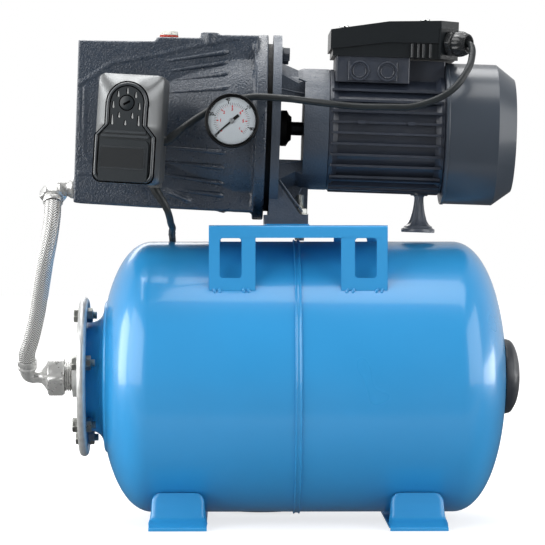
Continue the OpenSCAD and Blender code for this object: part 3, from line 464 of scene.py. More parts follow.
class Paint:
    """Builds one material's nodes."""

    def __init__(self, name, colour, metallic=0.0, rough=0.4, coat=0.0, coat_rough=0.1, level=0.5):
        self.colour = colour
        self.rough = rough
        self.material = bpy.data.materials.new(name)
        self.material.diffuse_color = (*colour, 1)
        self.tree = empty_tree(self.material)
        self.bsdf = self.node("BsdfPrincipled", {
            "Base Color": (*colour, 1), "Metallic": metallic, "Roughness": rough, "Coat Weight": coat,
            "Coat Roughness": coat_rough, "Specular IOR Level": level})
        self.out = self.node("OutputMaterial", {"Surface": self.bsdf.outputs["BSDF"]})
        self.at = self.node("TexCoord").outputs["Object"]
        self.normal = None

    def node(self, kind, inputs=None, **settings):
        return shader_node(self.tree, kind, inputs, **settings)

    def noise(self, scale, detail=2.0, rough=0.5):
        inputs = {"Vector": self.at, "Scale": scale, "Detail": detail, "Roughness": rough}
        return self.node("TexNoise", inputs).outputs["Fac"]

    def wave(self, scale, distortion=0.0):
        """Bands across the X axis."""
        inputs = {"Vector": self.at, "Scale": scale, "Distortion": distortion}
        return self.node("TexWave", inputs, wave_type="BANDS", bands_direction="X").outputs["Fac"]

    def cells(self, scale):
        return self.node("TexVoronoi", {"Vector": self.at, "Scale": scale}).outputs["Distance"]

    def shades(self, source, *stops):
        """Makes the colour darker or lighter by (place, factor) stops of a source."""
        ramp = self.node("ValToRGB", {"Fac": source})
        first, last = ramp.color_ramp.elements
        first.position, first.color = stops[0][0], (*scaled(self.colour, stops[0][1]), 1)
        last.position, last.color = stops[-1][0], (*scaled(self.colour, stops[-1][1]), 1)
        for place, factor in stops[1:-1]:
            ramp.color_ramp.elements.new(place).color = (*scaled(self.colour, factor), 1)
        self.tree.links.new(ramp.outputs["Color"], self.bsdf.inputs["Base Color"])
        return self

    def uneven(self, source, less, more):
        """Lets the roughness run from less to more than its own value."""
        rough = ramped(self.tree, source, 0.3, 0.7, self.rough - less, self.rough + more)
        self.tree.links.new(rough, self.bsdf.inputs["Roughness"])
        return self

    def bump(self, source, height):
        """Adds relief of a height in millimetres."""
        inputs = {"Strength": 1.0, "Distance": height / 1000, "Height": source}
        if self.normal:
            inputs["Normal"] = self.normal
        self.normal = self.node("Bump", inputs).outputs["Normal"]
        self.tree.links.new(self.normal, self.bsdf.inputs["Normal"])
        return self


def powder_coat(name, colour, rough, peel, coat_rough=0.2):
    """Semi-gloss powder coat on sheet steel."""
    p = Paint(name, colour, rough=rough, coat=0.5, coat_rough=coat_rough)
    p.shades(p.noise(9, 3), (0.3, 0.97), (0.7, 1.03)).uneven(p.noise(12, 2), 0.03, 0.04)
    return p.bump(p.noise(420, 2), peel).material


def cast_paint(name, colour, rough=0.3, peel=0.75, scale=520):
    """Paint on a casting, with a fine orange peel."""
    p = Paint(name, colour, rough=rough, level=1.0)
    p.shades(p.noise(22, 5), (0.25, 0.86), (0.5, 1), (0.78, 1.16)).uneven(p.noise(180, 4), 0.06, 0.12)
    return p.bump(p.noise(scale), peel).bump(p.noise(70, 3), peel * 0.2).material


def moulding(name, colour, rough, grain=0.03, coat=0.0):
    """Moulded plastic with a fine grain."""
    p = Paint(name, colour, rough=rough, coat=coat, coat_rough=0.2)
    p.shades(p.noise(30, 3), (0.3, 0.9), (0.7, 1.1)).uneven(p.noise(240, 3), 0.06, 0.08)
    return p.bump(p.noise(1500), grain).bump(p.noise(45), grain * 2).material


def satin(name, colour, rough, metallic=0.0, coat=0.0, level=0.5):
    """An even, smooth surface with the slightest cloudiness."""
    p = Paint(name, colour, metallic=metallic, rough=rough, coat=coat, coat_rough=0.2, level=level)
    return p.shades(p.noise(16), (0.3, 0.97), (0.7, 1.03)).uneven(p.noise(9), 0.02, 0.03).material


def metal(name, colour, rough, dark=0.8, scale=90, relief=0.03, metallic=1.0):
    """Bare or plated metal with fine marks."""
    p = Paint(name, colour, metallic=metallic, rough=rough)
    p.shades(p.noise(scale, 5, 0.6), (0.28, dark), (0.72, 1.06)).uneven(p.noise(scale * 3, 4), 0.08, 0.14)
    return p.bump(p.noise(scale * 8, 3), relief).material


def spangle(name, colour):
    """Galvanised sheet with its crystals."""
    p = Paint(name, colour, metallic=0.6, rough=0.34)
    p.shades(p.cells(120), (0, 0.86), (0.5, 1), (1, 1.12)).uneven(p.noise(160, 4), 0.06, 0.16)
    return p.bump(p.noise(500, 3), 0.04).bump(p.noise(60, 3), 0.08).material


def rubber(name, colour, rough=0.55):
    """Matte rubber with a faint bloom."""
    p = Paint(name, colour, rough=rough, level=0.4)
    p.shades(p.noise(60, 4), (0.3, 0.85), (0.75, 1.25)).uneven(p.noise(300, 3), 0.08, 0.12)
    return p.bump(p.noise(900, 3), 0.04).material


def windings(name, colour):
    """Varnished copper wire, laid side by side, with painted shade in dark bands between the wires."""
    p = Paint(name, colour, metallic=0.7, rough=0.3, coat=0.6)
    wires = p.wave(320, 1.5)
    return p.shades(wires, (0.1, 0.4), (0.6, 1)).bump(wires, 0.5).material


def laminations(name, colour):
    """Stacked electrical sheet."""
    p = Paint(name, colour, metallic=0.8, rough=0.45)
    sheets = p.wave(320, 0.4)
    return p.shades(sheets, (0.2, 0.6), (0.7, 1)).bump(sheets, 0.15).material


def clear_glass(name, colour):
    """A thin clear window with a faint mirror image."""
    p = Paint(name, colour, rough=0.02)
    clear = p.node("BsdfTransparent").outputs["BSDF"]
    gloss = p.node("BsdfGlossy", {"Roughness": 0.03}).outputs["BSDF"]
    edge = p.node("Fresnel", {"IOR": 1.15}).outputs["Fac"]
    p.tree.links.new(mixed(p.tree, edge, clear, gloss), p.out.inputs["Surface"])
    return p.material


def braid(name, colour):
    """Woven stainless wire: the threads run in a zigzag, with painted shade darkening the gaps between them
    and the sides of each thread.
    """
    p = Paint(name, colour, metallic=0.45, rough=0.32)
    p.at = p.node("TexCoord").outputs["UV"]
    one_thread = math.pi / 10
    # The bands darken the gaps between threads and their sides: painted shade
    return p.shades(p.wave(one_thread), (0.02, 0.06), (0.3, 0.5), (0.7, 1)).material


# Each finish: its maker, its colour as a screen shows it or from the panel by a factor, its own values
FINISHES = {
    "tank paint": (powder_coat, ("tank_blue", 1), {"rough": 0.3, "peel": 0.004, "coat_rough": 0.1}),
    "sheet paint": (powder_coat, ("tank_blue", 1.02), {"rough": 0.34, "peel": 0.04}),
    "galvanised": (spangle, (206, 207, 206), {}),
    "zinc": (metal, (196, 197, 192), {"rough": 0.34, "dark": 0.72}),
    "painted steel": (cast_paint, ("casting_grey", 0.8), {"rough": 0.4, "peel": 0.05}),
    "membrane": (rubber, (34, 34, 35), {}),
    "brass": (metal, (205, 172, 104), {"rough": 0.28}),
    "cap plastic": (moulding, (44, 48, 54), {"rough": 0.36}),
    "casting paint": (cast_paint, ("casting_grey", 1), {}),
    "bracket paint": (cast_paint, ("casting_grey", 1.3), {"rough": 0.45, "peel": 0.4}),
    "motor paint": (cast_paint, ("motor_grey", 1), {"rough": 0.36, "peel": 0.05, "scale": 700}),
    "cover paint": (powder_coat, ("cover_grey", 1), {"rough": 0.38, "peel": 0.04}),
    "seal black": (rubber, (16, 17, 18), {"rough": 0.6}),
    "white plastic": (moulding, (228, 228, 220), {"rough": 0.35}),
    "red fibre": (rubber, (176, 62, 48), {"rough": 0.7}),
    "box plastic": (satin, (26, 30, 33), {"rough": 0.3, "coat": 0.3}),
    "brass casting": (metal, (190, 155, 90), {"rough": 0.42, "dark": 0.7, "scale": 60, "relief": 0.12}),
    "carbon": (rubber, (60, 60, 62), {"rough": 0.35}),
    "ceramic": (moulding, (232, 228, 218), {"rough": 0.2, "grain": 0.005}),
    "black rubber": (rubber, (18, 18, 19), {"rough": 0.5}),
    "shaft steel": (metal, (70, 72, 76), {"rough": 0.3, "scale": 140}),
    "lamination steel": (laminations, (128, 130, 134), {}),
    "copper windings": (windings, (186, 104, 58), {}),
    "gland plastic": (moulding, (32, 34, 36), {"rough": 0.28, "grain": 0.02, "coat": 0.3}),
    "foot plastic": (satin, (82, 88, 98), {"rough": 0.28, "coat": 0.4}),
    "switch plastic": (satin, ("switch_grey", 1), {"rough": 0.36, "metallic": 0.8}),
    "switch face": (satin, (30, 36, 40), {"rough": 0.3}),
    "switch rim": (satin, (46, 51, 55), {"rough": 0.26, "coat": 0.6}),
    "bare plate": (satin, (25, 29, 32), {"rough": 0.45, "level": 0.36}),
    # A light grey standing in for the lit edge of each vent slot: painted highlight
    "slot light": (moulding, (150, 152, 152), {"rough": 0.35, "grain": 0.01}),
    # Near black with almost no shine: painted shade for the switch's slots, grooves and screw gaps
    "black slot": (satin, (3, 3, 4), {"rough": 0.8, "level": 0.05}),
    "gauge black": (satin, (8, 9, 11), {"rough": 0.34, "level": 0.25}),
    "dial white": (moulding, (190, 198, 204), {"rough": 0.5, "grain": 0.003}),
    "dial black": (moulding, (18, 18, 20), {"rough": 0.5, "grain": 0.003}),
    "dial grey": (moulding, (112, 116, 120), {"rough": 0.5, "grain": 0.003}),
    "dial red": (moulding, (196, 40, 44), {"rough": 0.5, "grain": 0.003}),
    "hub grey": (metal, (150, 154, 158), {"rough": 0.4, "dark": 0.9, "metallic": 0.4}),
    "glass": (clear_glass, (243, 249, 250), {}),
    "braid": (braid, (222, 222, 220), {}),
    "nickel": (metal, (226, 226, 224), {"rough": 0.3, "dark": 0.75, "scale": 70, "metallic": 0.7}),
    "cord rubber": (rubber, (34, 38, 40), {"rough": 0.38}),
    "bright steel": (metal, (222, 223, 222), {"rough": 0.2, "dark": 0.85, "scale": 120}),
}


def finish(name):
    """The material of that name, made once."""
    if name in bpy.data.materials:
        return bpy.data.materials[name]
    maker, colour, values = FINISHES[name]
    if isinstance(colour[0], str):
        setting, factor = colour
        return maker(name, scaled(getattr(bpy.context.scene.pump_set, setting), factor), **values)
    return maker(name, tone(*colour), **values)


# The finish of each material slot of the record
SLOT_FINISH = {
    "blue_paint": "tank paint", "blue_sheet": "sheet paint", "zinc_plate": "galvanised",
    "zinc_bolts": "zinc", "dark_steel": "painted steel", "membrane_rubber": "membrane",
    "valve_brass": "brass", "cap_plastic": "cap plastic", "casting": "bracket paint",
    "motor_paint": "motor paint", "cover_paint": "cover paint", "seal_black": "seal black",
    "white_plastic": "white plastic", "red_gasket": "red fibre", "black_plastic": "box plastic",
    "impeller_brass": "brass casting", "seal_carbon": "carbon", "seal_ceramic": "ceramic",
    "black_rubber": "black rubber", "shaft_steel": "shaft steel", "core_steel": "lamination steel",
    "winding_copper": "copper windings", "gland_plastic": "gland plastic",
    "foot_plastic": "foot plastic", "switch_plastic": "switch plastic", "gauge_black": "gauge black",
    "dial_white": "dial white", "gauge_glass": "glass", "steel_braid": "braid",
    "cord_rubber": "cord rubber",
}


# Sizes and colours that a user would change
def paint(name, description, colour):
    """A colour in the panel, its first value as a screen shows it."""
    return FloatVectorProperty(name=name, description=description, subtype="COLOR", size=3, min=0, max=1,
                               default=tone(*colour))


class PumpSetSettings(bpy.types.PropertyGroup):
    tank_blue: paint("Tank blue", "Powder coat of the tank and its sheet parts", (44, 142, 201))
    casting_grey: paint("Casting grey", "Paint of the pump's castings", (46, 56, 69))
    motor_grey: paint("Motor grey", "Paint of the finned motor housing", (42, 49, 62))
    cover_grey: paint("Fan cover grey", "Paint of the fan cover", (52, 60, 70))
    switch_grey: paint("Switch grey", "Plastic of the pressure switch", (122, 124, 125))
    cord_d: FloatProperty(name="Cord diameter", description="Diameter of the motor lead and mains cord",
                          default=0.007, min=0.005, max=0.009, unit="LENGTH")
    hose_d: FloatProperty(name="Hose diameter", description="Diameter of the braided hose",
                          default=0.0175, min=0.014, max=0.02, unit="LENGTH")
    strands: IntProperty(name="Hose strands", description="Strands of the hose's braid in each direction",
                         default=12, min=6, max=20)


# Stage
LENS = 192.4
SENSOR = 36

# Each lamp: its name, place and aim in metres, its width and height in metres and its power in watts
LAMPS = (
    ("left", (-1.9, -1.15, 0.9), (-0.1, 0, 0.35), 2.4, 2.1, 50),
    ("right", (1.95, -1.05, 0.85), (0.1, 0, 0.3), 2.2, 2.1, 36),
    ("left_side", (-2.2, 0.45, 0.6), (0, 0, 0.35), 1.0, 1.2, 22),
    ("right_side", (2.1, 0.7, 0.17), (0, 0, 0.15), 1.5, 0.3, 7),
    ("overhead", (-0.1, -0.4, 2.4), (0, 0, 0.3), 2.4, 1.0, 24),
    ("top_back", (-0.35, 0.8, 2.2), (-0.1, 0, 0.4), 1.9, 1.0, 28),
    ("back", (-0.6, 2.4, 1.5), (0, 0, 0.3), 1.4, 1.0, 12),
)


class PUMPSET_OT_stage(bpy.types.Operator):
    """Makes the camera, the floor, the lamps and the world"""
    bl_idname = "pump_set.stage"
    bl_label = "Stage"

    def execute(self, context):
        scene = context.scene
        scene.view_settings.view_transform = "Standard"
        camera = bpy.data.cameras.new("camera")
        camera.lens = LENS
        camera.sensor_width = SENSOR
        scene.camera = self.aimed("camera", camera, Vector(CAMERA) / 1000, Vector(CAMERA_AIM) / 1000)
        self.floor(scene)
        self.world(scene)
        for name, at, to, wide, high, power in LAMPS:
            light = bpy.data.lights.new(name, "AREA")
            light.shape = "RECTANGLE"
            light.size = wide
            light.size_y = high
            light.energy = power
            self.aimed(name, light, Vector(at), Vector(to))
        return {"FINISHED"}

    def aimed(self, name, data, at, to):
        """A camera or lamp at a place, turned towards another."""
        obj = bpy.data.objects.new(name, data)
        obj.location = at
        obj.rotation_euler = (to - at).to_track_quat("-Z", "Y").to_euler()
        bpy.context.scene.collection.objects.link(obj)
        return obj

    def floor(self, scene):
        """A pale floor that takes the shadow, fades to white far off and is darker in reflections, where it
        shows a painted glow: a bright band in front of the object, with painted shade near and under it.
        """
        half = 9
        mesh = bpy.data.meshes.new("floor")
        mesh.from_pydata([(-half, -half, 0), (half, -half, 0), (half, half, 0), (-half, half, 0)], [],
                         [(0, 1, 2, 3)])
        floor = bpy.data.objects.new("floor", mesh)
        floor.location.z = -0.0003
        scene.collection.objects.link(floor)
        material = bpy.data.materials.new("floor")
        mesh.materials.append(material)
        tree = empty_tree(material)
        where = shader_node(tree, "TexCoord").outputs["Object"]
        path = shader_node(tree, "LightPath").outputs
        y = shader_node(tree, "SeparateXYZ", {0: where}).outputs["Y"]
        away = shader_node(tree, "VectorMath", {0: where}, operation="LENGTH").outputs["Value"]
        fade = ramped(tree, away, 0.5, 2.0, 0.74, 1.0)
        strength = ramped(tree, seen_directly(tree, path), 0, 1, 0.2, fade)
        matt = shader_node(tree, "BsdfDiffuse", {"Color": (0.42, 0.42, 0.42, 1)}).outputs[0]
        glow = shader_node(tree, "Emission", {"Strength": strength}).outputs[0]
        pale = shader_node(tree, "AddShader", {0: matt, 1: glow}).outputs[0]
        # Painted light in reflections: a glow brightest in a band in front of the object, dimmed near and
        # under it as painted shade
        front = ramped(tree, y, -0.37, -0.31, 0.08, 0.55)
        behind = ramped(tree, y, -0.3, -0.13, 1.0, 0.15)
        level = shader_node(tree, "Math", {0: front, 1: behind}, operation="MULTIPLY").outputs[0]
        mirror = shader_node(tree, "Emission", {"Strength": level}).outputs[0]
        shader_node(tree, "OutputMaterial", {"Surface": mixed(tree, path["Is Glossy Ray"], pale, mirror)})

    def world(self, scene):
        """A white background, and an even light that is dimmer behind the camera in reflections."""
        scene.world = bpy.data.worlds.new("studio")
        tree = empty_tree(scene.world)
        path = shader_node(tree, "LightPath").outputs
        where = shader_node(tree, "TexCoord").outputs["Generated"]
        y = shader_node(tree, "SeparateXYZ", {0: where}).outputs["Y"]
        light, mirror, white = (
            shader_node(tree, "Background", {"Color": (1, 1, 1, 1), "Strength": strength}).outputs[0]
            for strength in (0.34, ramped(tree, y, -0.35, 0.5, 0.08, 0.6), 1.0))
        lit = mixed(tree, path["Is Glossy Ray"], light, mirror)
        view = mixed(tree, seen_directly(tree, path), lit, white)
        shader_node(tree, "OutputWorld", {"Surface": view})


# Cords
def cord_curve(name, line, diameter, replaces):
    """A round cord on a line given in millimetres."""
    curve = bpy.data.curves.new(name, "CURVE")
    curve.dimensions = "3D"
    curve.bevel_depth = diameter / 2
    curve.bevel_resolution = 5
    curve.use_fill_caps = True
    spline = curve.splines.new("POLY")
    spline.points.add(len(line) - 1)
    for point, p in zip(spline.points, line):
        point.co = (p[0] / 1000, p[1] / 1000, p[2] / 1000, 1)
    spline.use_smooth = True
    return seat(bpy.data.objects.new(name, curve), "cord rubber", replaces=replaces)


def ease(t):
    t = min(1.0, max(0.0, t))
    return t * t * (3 - 2 * t)


def coil_points():
    """Four turns in two columns and two layers, clockwise from the back, then on to the plug."""
    cord = 7
    step = 15
    points = []
    for gone in range(step, 4 * 360 + step + 1, step):
        a = math.radians(90 - gone)
        r = COIL_R - cord * ease((gone - 300) / 53) + cord * ease((gone - 970) / 65)
        z = 3.7 + cord * ease((gone - 645) / 47) + cord * ease((gone - 1315) / 45)
        points.append((COIL_AT[0] + r * math.cos(a), COIL_AT[1] + r * math.sin(a), z))
    return points + COIL_TO_PLUG


class PUMPSET_OT_cords(bpy.types.Operator):
    """Makes the motor lead, the mains cord with its coil and plug, and their strain reliefs"""
    bl_idname = "pump_set.cords"
    bl_label = "Cords"

    def execute(self, context):
        d = context.scene.pump_set.cord_d
        line = smooth_line(LEAD)
        lead = cord_curve("motor_lead_flex", line, d, ("motor_lead",))
        lead_boot = self.boot("lead_boot", line, 4.5, 27)
        line = smooth_line(MAINS + coil_points(), 4)
        mains = cord_curve("mains_flex", line, d, ("mains_cord", "mains_coil"))
        mains_boot = self.boot("mains_boot", line, 8.5, 34)
        plug = self.plug()
        return {"FINISHED"}

    def boot(self, name, line, start, end):
        """A tapered strain relief between two distances along a cord."""
        run = along(line)
        part = [p for p, s in zip(line, run) if start <= s <= end]
        length = [s for s in run if start <= s <= end]
        radii = [5.2 - 1.5 * (s - length[0]) / (length[-1] - length[0]) for s in length]
        for k in range(2, len(radii) - 1, 2):
            radii[k] -= 0.35
        bm = bmesh.new()
        sleeve(bm, part, radii)
        return piece(name, bm, "cord rubber")

    def plug(self):
        """A round two-pin plug with a gripped body."""
        bm = bmesh.new()
        profile = [(0, 0), (3.6, 0), (4.9, 0.5)]
        for k in range(6):
            r, x = 5.1 + 0.33 * k, 2 + 4 * k
            profile += [(r, x), (r + 0.3, x + 1.8), (r - 0.6, x + 2.2), (r - 0.5, x + 3.6)]
        profile += [(7.2, 26.5), (8.4, 28.5), (12.6, 31.5), (15, 35), (16.6, 38), (18, 40.5), (18.4, 42),
                    (18.4, 60.3), (17.7, 61.7), (16.4, 62), (0, 62)]
        turn(bm, profile, 96, closed=False, radius=self.grip)
        body = piece("plug_body", bm, "cord rubber", place=PLUG, replaces=("mains_plug",))
        bm = bmesh.new()
        for side in (-9.5, 9.5):
            turn(bm, [(0, 61), (2.4, 61), (2.4, 78.6), (2.0, 80.2), (1.2, 81), (0, 81)], 28,
                 moved(0, side, 0), closed=False)
            turn(bm, [(2.4, 61.8), (2.9, 62), (2.9, 62.4), (2.4, 62.6)], 28, moved(0, side, 0))
        pins = piece("plug_pins", bm, "bright steel", place=PLUG)
        pins.parent = body
        pins.matrix_parent_inverse = body.matrix_world.inverted()
        return body

    def grip(self, r, x, a):
        """Finger grooves round the plug's body."""
        if 30 < x < 58:
            return r - 0.5 * max(0.0, math.cos(a * 24)) * ease((x - 30) / 6) * ease((58 - x) / 4)
        return r


class PUMPSET_OT_hose(bpy.types.Operator):
    """Makes the braided hose"""
    bl_idname = "pump_set.hose"
    bl_label = "Braided hose"

    def execute(self, context):
        settings = context.scene.pump_set
        line = smooth_line(HOSE, 46)
        run = along(line)
        bm = bmesh.new()
        self.weave(bm, line, run, settings.hose_d * 500, settings.strands)
        hose = piece("hose_braid", bm, "braid", replaces=("braided_hose",), crease=60)
        return {"FINISHED"}

    def phase(self, s, across, column):
        """How far along the threads a place lies; the threads turn back at each column's edge."""
        pitch, lean = 2.5, 4.4
        side = 1 if column % 2 else -1
        return (s + side * (across - column - 0.5) * lean) / pitch

    def weave(self, bm, line, run, outer, columns):
        """The hose's surface: columns of slanting ridges, with a valley between two columns."""
        cells = 10
        around = columns * cells
        uv = bm.loops.layers.uv.new("UVMap")
        rings = []
        for (p, u, v), s in zip(rings_on(line), run):
            ring = []
            for k, (x, y) in enumerate(circle(1, around)):
                column = k // cells
                edge = abs(k / cells - column - 0.5) * 2
                ridge = 0.5 - 0.5 * math.cos(2 * math.pi * self.phase(s, k / cells, column))
                r = outer - 0.6 + 0.42 * ridge * (1 - 0.5 * edge ** 4) + 0.15 * (1 - edge ** 3)
                ring.append(bm.verts.new(p + u * (r * x) + v * (r * y)))
            rings.append(ring)
        for i in range(len(rings) - 1):
            for k in range(around):
                n = (k + 1) % around
                face = bm.faces.new((rings[i][k], rings[i + 1][k], rings[i + 1][n], rings[i][n]))
                corners = ((run[i], k), (run[i + 1], k), (run[i + 1], k + 1), (run[i], k + 1))
                for loop, (s, at) in zip(face.loops, corners):
                    loop[uv].uv = (self.phase(s, at / cells, k // cells), at / cells)
        bm.faces.new(rings[0])
        bm.faces.new(rings[-1])


# Tank
TANK_R, TANK_IN_R = 139, 137.2
TANK_LEFT, TANK_RIGHT = -147.1, 159.9
DOME_H, DOME_IN_H = 55, 53.2
DOME_POWER = 0.93


class PUMPSET_OT_tank(bpy.types.Operator):
    """Makes the tank's two halves, the weld between them and the valve's cap"""
    bl_idname = "pump_set.tank"
    bl_label = "Tank"

    def execute(self, context):
        self.left_half()
        self.right_half()
        self.weld()
        self.cap()
        return {"FINISHED"}

    def dome(self, r, high, end, last, steps):
        """A dome's points from the tank's side, at its end, to a last angle; high is below 0 to the left."""
        points = []
        for k in range(steps + 1):
            a = last * k / steps
            points.append((r * math.cos(a) ** DOME_POWER, end + high * math.sin(a) ** DOME_POWER))
        return points

    def left_half(self):
        """The half with the lip that carries the flange."""
        dome_to_lip = math.acos((78 / TANK_R) ** (1 / DOME_POWER))
        dome_inside = math.acos((60 / TANK_IN_R) ** (1 / DOME_POWER))
        outer = [(TANK_R, x) for x in (0, -40, -90, -125)]
        outer += self.dome(TANK_R, -DOME_H, TANK_LEFT, dome_to_lip, 32)
        lip = [(77.6, -194.9), (76.6, -195.9), (75, -196.4), (70, -197), (65.4, -198), (62.4, -199.4),
               (60, -201.2), (57.8, -204.2), (56.3, -208), (55.4, -211.6), (55, -213.6), (55.4, -214.5),
               (56.2, -214.6), (71.9, -214.6), (72.5, -215.2), (72.5, -216.6), (71.9, -217.1),
               (53.2, -217.1), (53.2, -200)]
        inner = self.dome(TANK_IN_R, -DOME_IN_H, TANK_LEFT, dome_inside, 18)
        bm = bmesh.new()
        turn(bm, outer + lip + inner[::-1] + [(TANK_IN_R, 0)], 192)
        piece("left_half", bm, "tank paint", place=TANK, replaces=("tank_shell_left",))

    def right_half(self):
        """The half with the hole for the air valve."""
        outer = [(TANK_R, x) for x in (0, 50, 100, 140)]
        outer += self.dome(TANK_R, DOME_H, TANK_RIGHT, math.pi / 2, 36)[:-1]
        inner = self.dome(TANK_IN_R, DOME_IN_H, TANK_RIGHT, math.pi / 2, 36)[:-1]
        hole = [(6, TANK_RIGHT + DOME_H - 0.05), (6, TANK_RIGHT + DOME_IN_H - 0.05)]
        bm = bmesh.new()
        turn(bm, outer + hole + inner[::-1] + [(TANK_IN_R, 0)], 192)
        piece("right_half", bm, "tank paint", place=TANK, replaces=("tank_shell_right",))

    def weld(self):
        """The joint round the middle, with the thin bead that ran along each of its edges."""
        def ripple(r, x, a):
            k = math.sin(a * 120 + x) * 0.12 + noise.noise(Vector((a * 18, x, 0))) * 0.42
            on_bead = abs(x) > 1.6 and r > TANK_R + 0.4
            return r + (k if on_bead else 0.1 * k)

        bm = bmesh.new()
        profile = [(138.6, -3.5), (139.7, -3.5), (140.6, -3.2), (141, -2.7), (140.8, -2.1), (140.1, -1.6),
                   (139.9, 0), (140.1, 1.6), (140.8, 2.1), (141, 2.7), (140.6, 3.2), (139.7, 3.5),
                   (138.6, 3.5)]
        turn(bm, profile, 720, radius=ripple)
        piece("middle_weld", bm, "tank paint", place=TANK, replaces=("tank_weld_seam",),
              crease=80)

    def cap(self):
        """The valve's cap, with a shallow grip on each third."""
        def grip(r, x, a):
            lobe = max(0.0, math.cos(3 * a + math.pi))
            depth = 3.4 * ease((r - 12) / 10) * ease((36.6 - r) / 4)
            return r - depth * lobe * lobe

        top, base = 230.4, 213.8
        outer = [(38.1, base), (38.5, base + 0.5), (38.4, base + 2.6), (37.9, base + 4)]
        for k in range(1, 15):
            a = math.pi / 2 * k / 14
            outer.append((37.9 * math.cos(a), base + 4 + (top - base - 4) * math.sin(a)))
        inner = [(36.4, base), (36.4, base + 2)]
        for k in range(1, 11):
            a = math.pi / 2 * k / 10
            inner.append((35.8 * math.cos(a), base + 2.2 + (top - base - 4.7) * math.sin(a)))
        outer[-1], inner[-1] = (0, top), (0, top - 2.5)
        bm = bmesh.new()
        turn(bm, outer, 144, closed=False, radius=grip)
        turn(bm, inner, 144, closed=False)
        bmesh.ops.remove_doubles(bm, verts=bm.verts, dist=1e-4)
        rim = [e for e in bm.edges if e.is_boundary]
        bmesh.ops.bridge_loops(bm, edges=rim)
        piece("valve_cover", bm, "cap plastic", body="cap", place=TANK,
              replaces=("valve_cap",))


class PUMPSET_OT_flange(bpy.types.Operator):
    """Makes the bolts of the flange and the casing, the platform's studs and the drain plug"""
    bl_idname = "pump_set.flange"
    bl_label = "Bolts and drain plug"

    def execute(self, context):
        bm = bmesh.new()
        for k in range(6):
            spot = turned(15 + 60 * k, "X") @ moved(0, 0, 66)
            bolt(bm, spot @ moved(-222.1, 0, 0) @ turned(180, "Z"), 5.6, 13, 4, 18, 10)
            hexagon(bm, -214.5, -208.2, 13, spot @ turned(11, "X"), bore=4)
            turn(bm, [(4, -222.12), (7.6, -222.12), (7.8, -222.9), (4, -222.9)], 36, spot)
        piece("flange_bolting", bm, "zinc", place=TANK, replaces=("flange_fasteners",))
        bm = bmesh.new()
        for y in (-1, 1):
            spot = moved(3.4, y * 43, 0) @ TO_Z
            thread(bm, 287.7, 334.2, 4, spot)
            hexagon(bm, 315.1, 320.4, 13, spot @ turned(12, "X"), bore=3.9)
            hexagon(bm, 294.3, 300.6, 13, spot, bore=3.9)
            turn(bm, [(3.9, 313.9), (8, 313.9), (8.2, 314.2), (8.2, 315.1), (3.9, 315.1)], 40, spot)
        piece("platform_bolting", bm, "zinc", replaces=("platform_fasteners",))
        bm = bmesh.new()
        for a in (-24, 24, 156, 204):
            spot = turned(a, "X") @ moved(-17.4, 0, 81) @ turned(9 * a, "X")
            hexagon(bm, 1.2, 7.9, 13, spot)
            turn(bm, [(0, 0), (7.6, 0), (7.6, 1.3), (0, 1.3)], 40, spot)
            turn(bm, [(0, -24), (4, -24), (4, 0), (0, 0)], 24, spot)
        piece("casing_bolting", bm, "painted steel", place=PUMP, replaces=("casing_bolts",))
        bm = bmesh.new()
        spot = moved(-190, 58.1, -66) @ turned(90, "Z")
        hexagon(bm, 0.8, 4.9, 17, spot)
        turn(bm, [(0, -10), (6.5, -10), (6.5, 0), (9.6, 0), (9.6, 0.8), (0, 0.8)], 40, spot)
        piece("drain_stopper", bm, "painted steel", place=PUMP, replaces=("drain_plug",))
        return {"FINISHED"}


class PUMPSET_OT_feet(bpy.types.Operator):
    """Makes the two pressed feet"""
    bl_idname = "pump_set.feet"
    bl_label = "Feet"

    def execute(self, context):
        for name, x in (("left", -120), ("right", 120)):
            bm = bmesh.new()
            self.tab(bm, 1)
            self.tab(bm, -1)
            holes = [[(u, v + y) for u, v in circle(4.5, 32)] for y in (-70, 70)]
            plate(bm, rounded(57, 180, 1), 0.0, 2.4, ease=0.4, holes=holes)
            piece(name + "_foot_sheet", bm, "sheet paint", place=moved(x, 0, 0),
                  replaces=("tank_foot_" + name,), crease=50)
        return {"FINISHED"}

    def tab(self, bm, side):
        """One end of a foot: the sheet rises from the floor to the tank with its sides turned back.

        Each row: its place outwards and up, its width, the depth of its sides and how far they flare.
        """
        rows = [(118, 0.0, 58, 0.4, 0), (118, 2.4, 58, 0.8, 0), (117.2, 3.4, 57.8, 1.2, 0.1),
                (115.4, 3.9, 57.4, 1.6, 0.2), (105, 6.2, 56.6, 4, 1.2), (97, 8.2, 54.8, 6.5, 1.6),
                (94.2, 9.4, 53.4, 7.4, 1.8), (92.6, 11.4, 52.6, 8, 1.8), (91.8, 14.4, 52, 8.6, 1.6),
                (89.8, 18, 52, 8.6, 1.2), (87.2, 24, 52, 8, 0.8)]
        for k in range(7):
            a = math.radians(90 * k / 6)
            z = 25.7 + 9.3 * math.sin(a)
            rows.append((86.8 - 2.2 * math.sin(a), z, 52 - 18.6 * (1 - math.cos(a)), 7 - 6 * k / 6, 0.5))
        loops = []
        for y, z, wide, deep, flare in rows:
            half = wide / 2
            bend = min(1, deep / 4)
            edge = [(half + flare, deep), (half + flare * 0.7, deep * 0.66),
                    (half + flare * 0.3, deep * 0.33), (half - 0.5, 1.1 * bend), (half - 2.2, 0.25 * bend),
                    (half - 5, 0)]
            line = [(-u, v) for u, v in edge] + [(0, 0)] + [(u, v) for u, v in reversed(edge)]
            front = [(u * side, side * (y - v), z) for u, v in line]
            back = [(u * 0.955 * side, side * (y - v - (2.2 if abs(u) < half - 4 else 1.0)), z)
                    for u, v in reversed(line)]
            loops.append(front + back)
        part = bmesh.new()
        loft(part, loops)
        bmesh.ops.recalc_face_normals(part, faces=part.faces)
        add(bm, part)


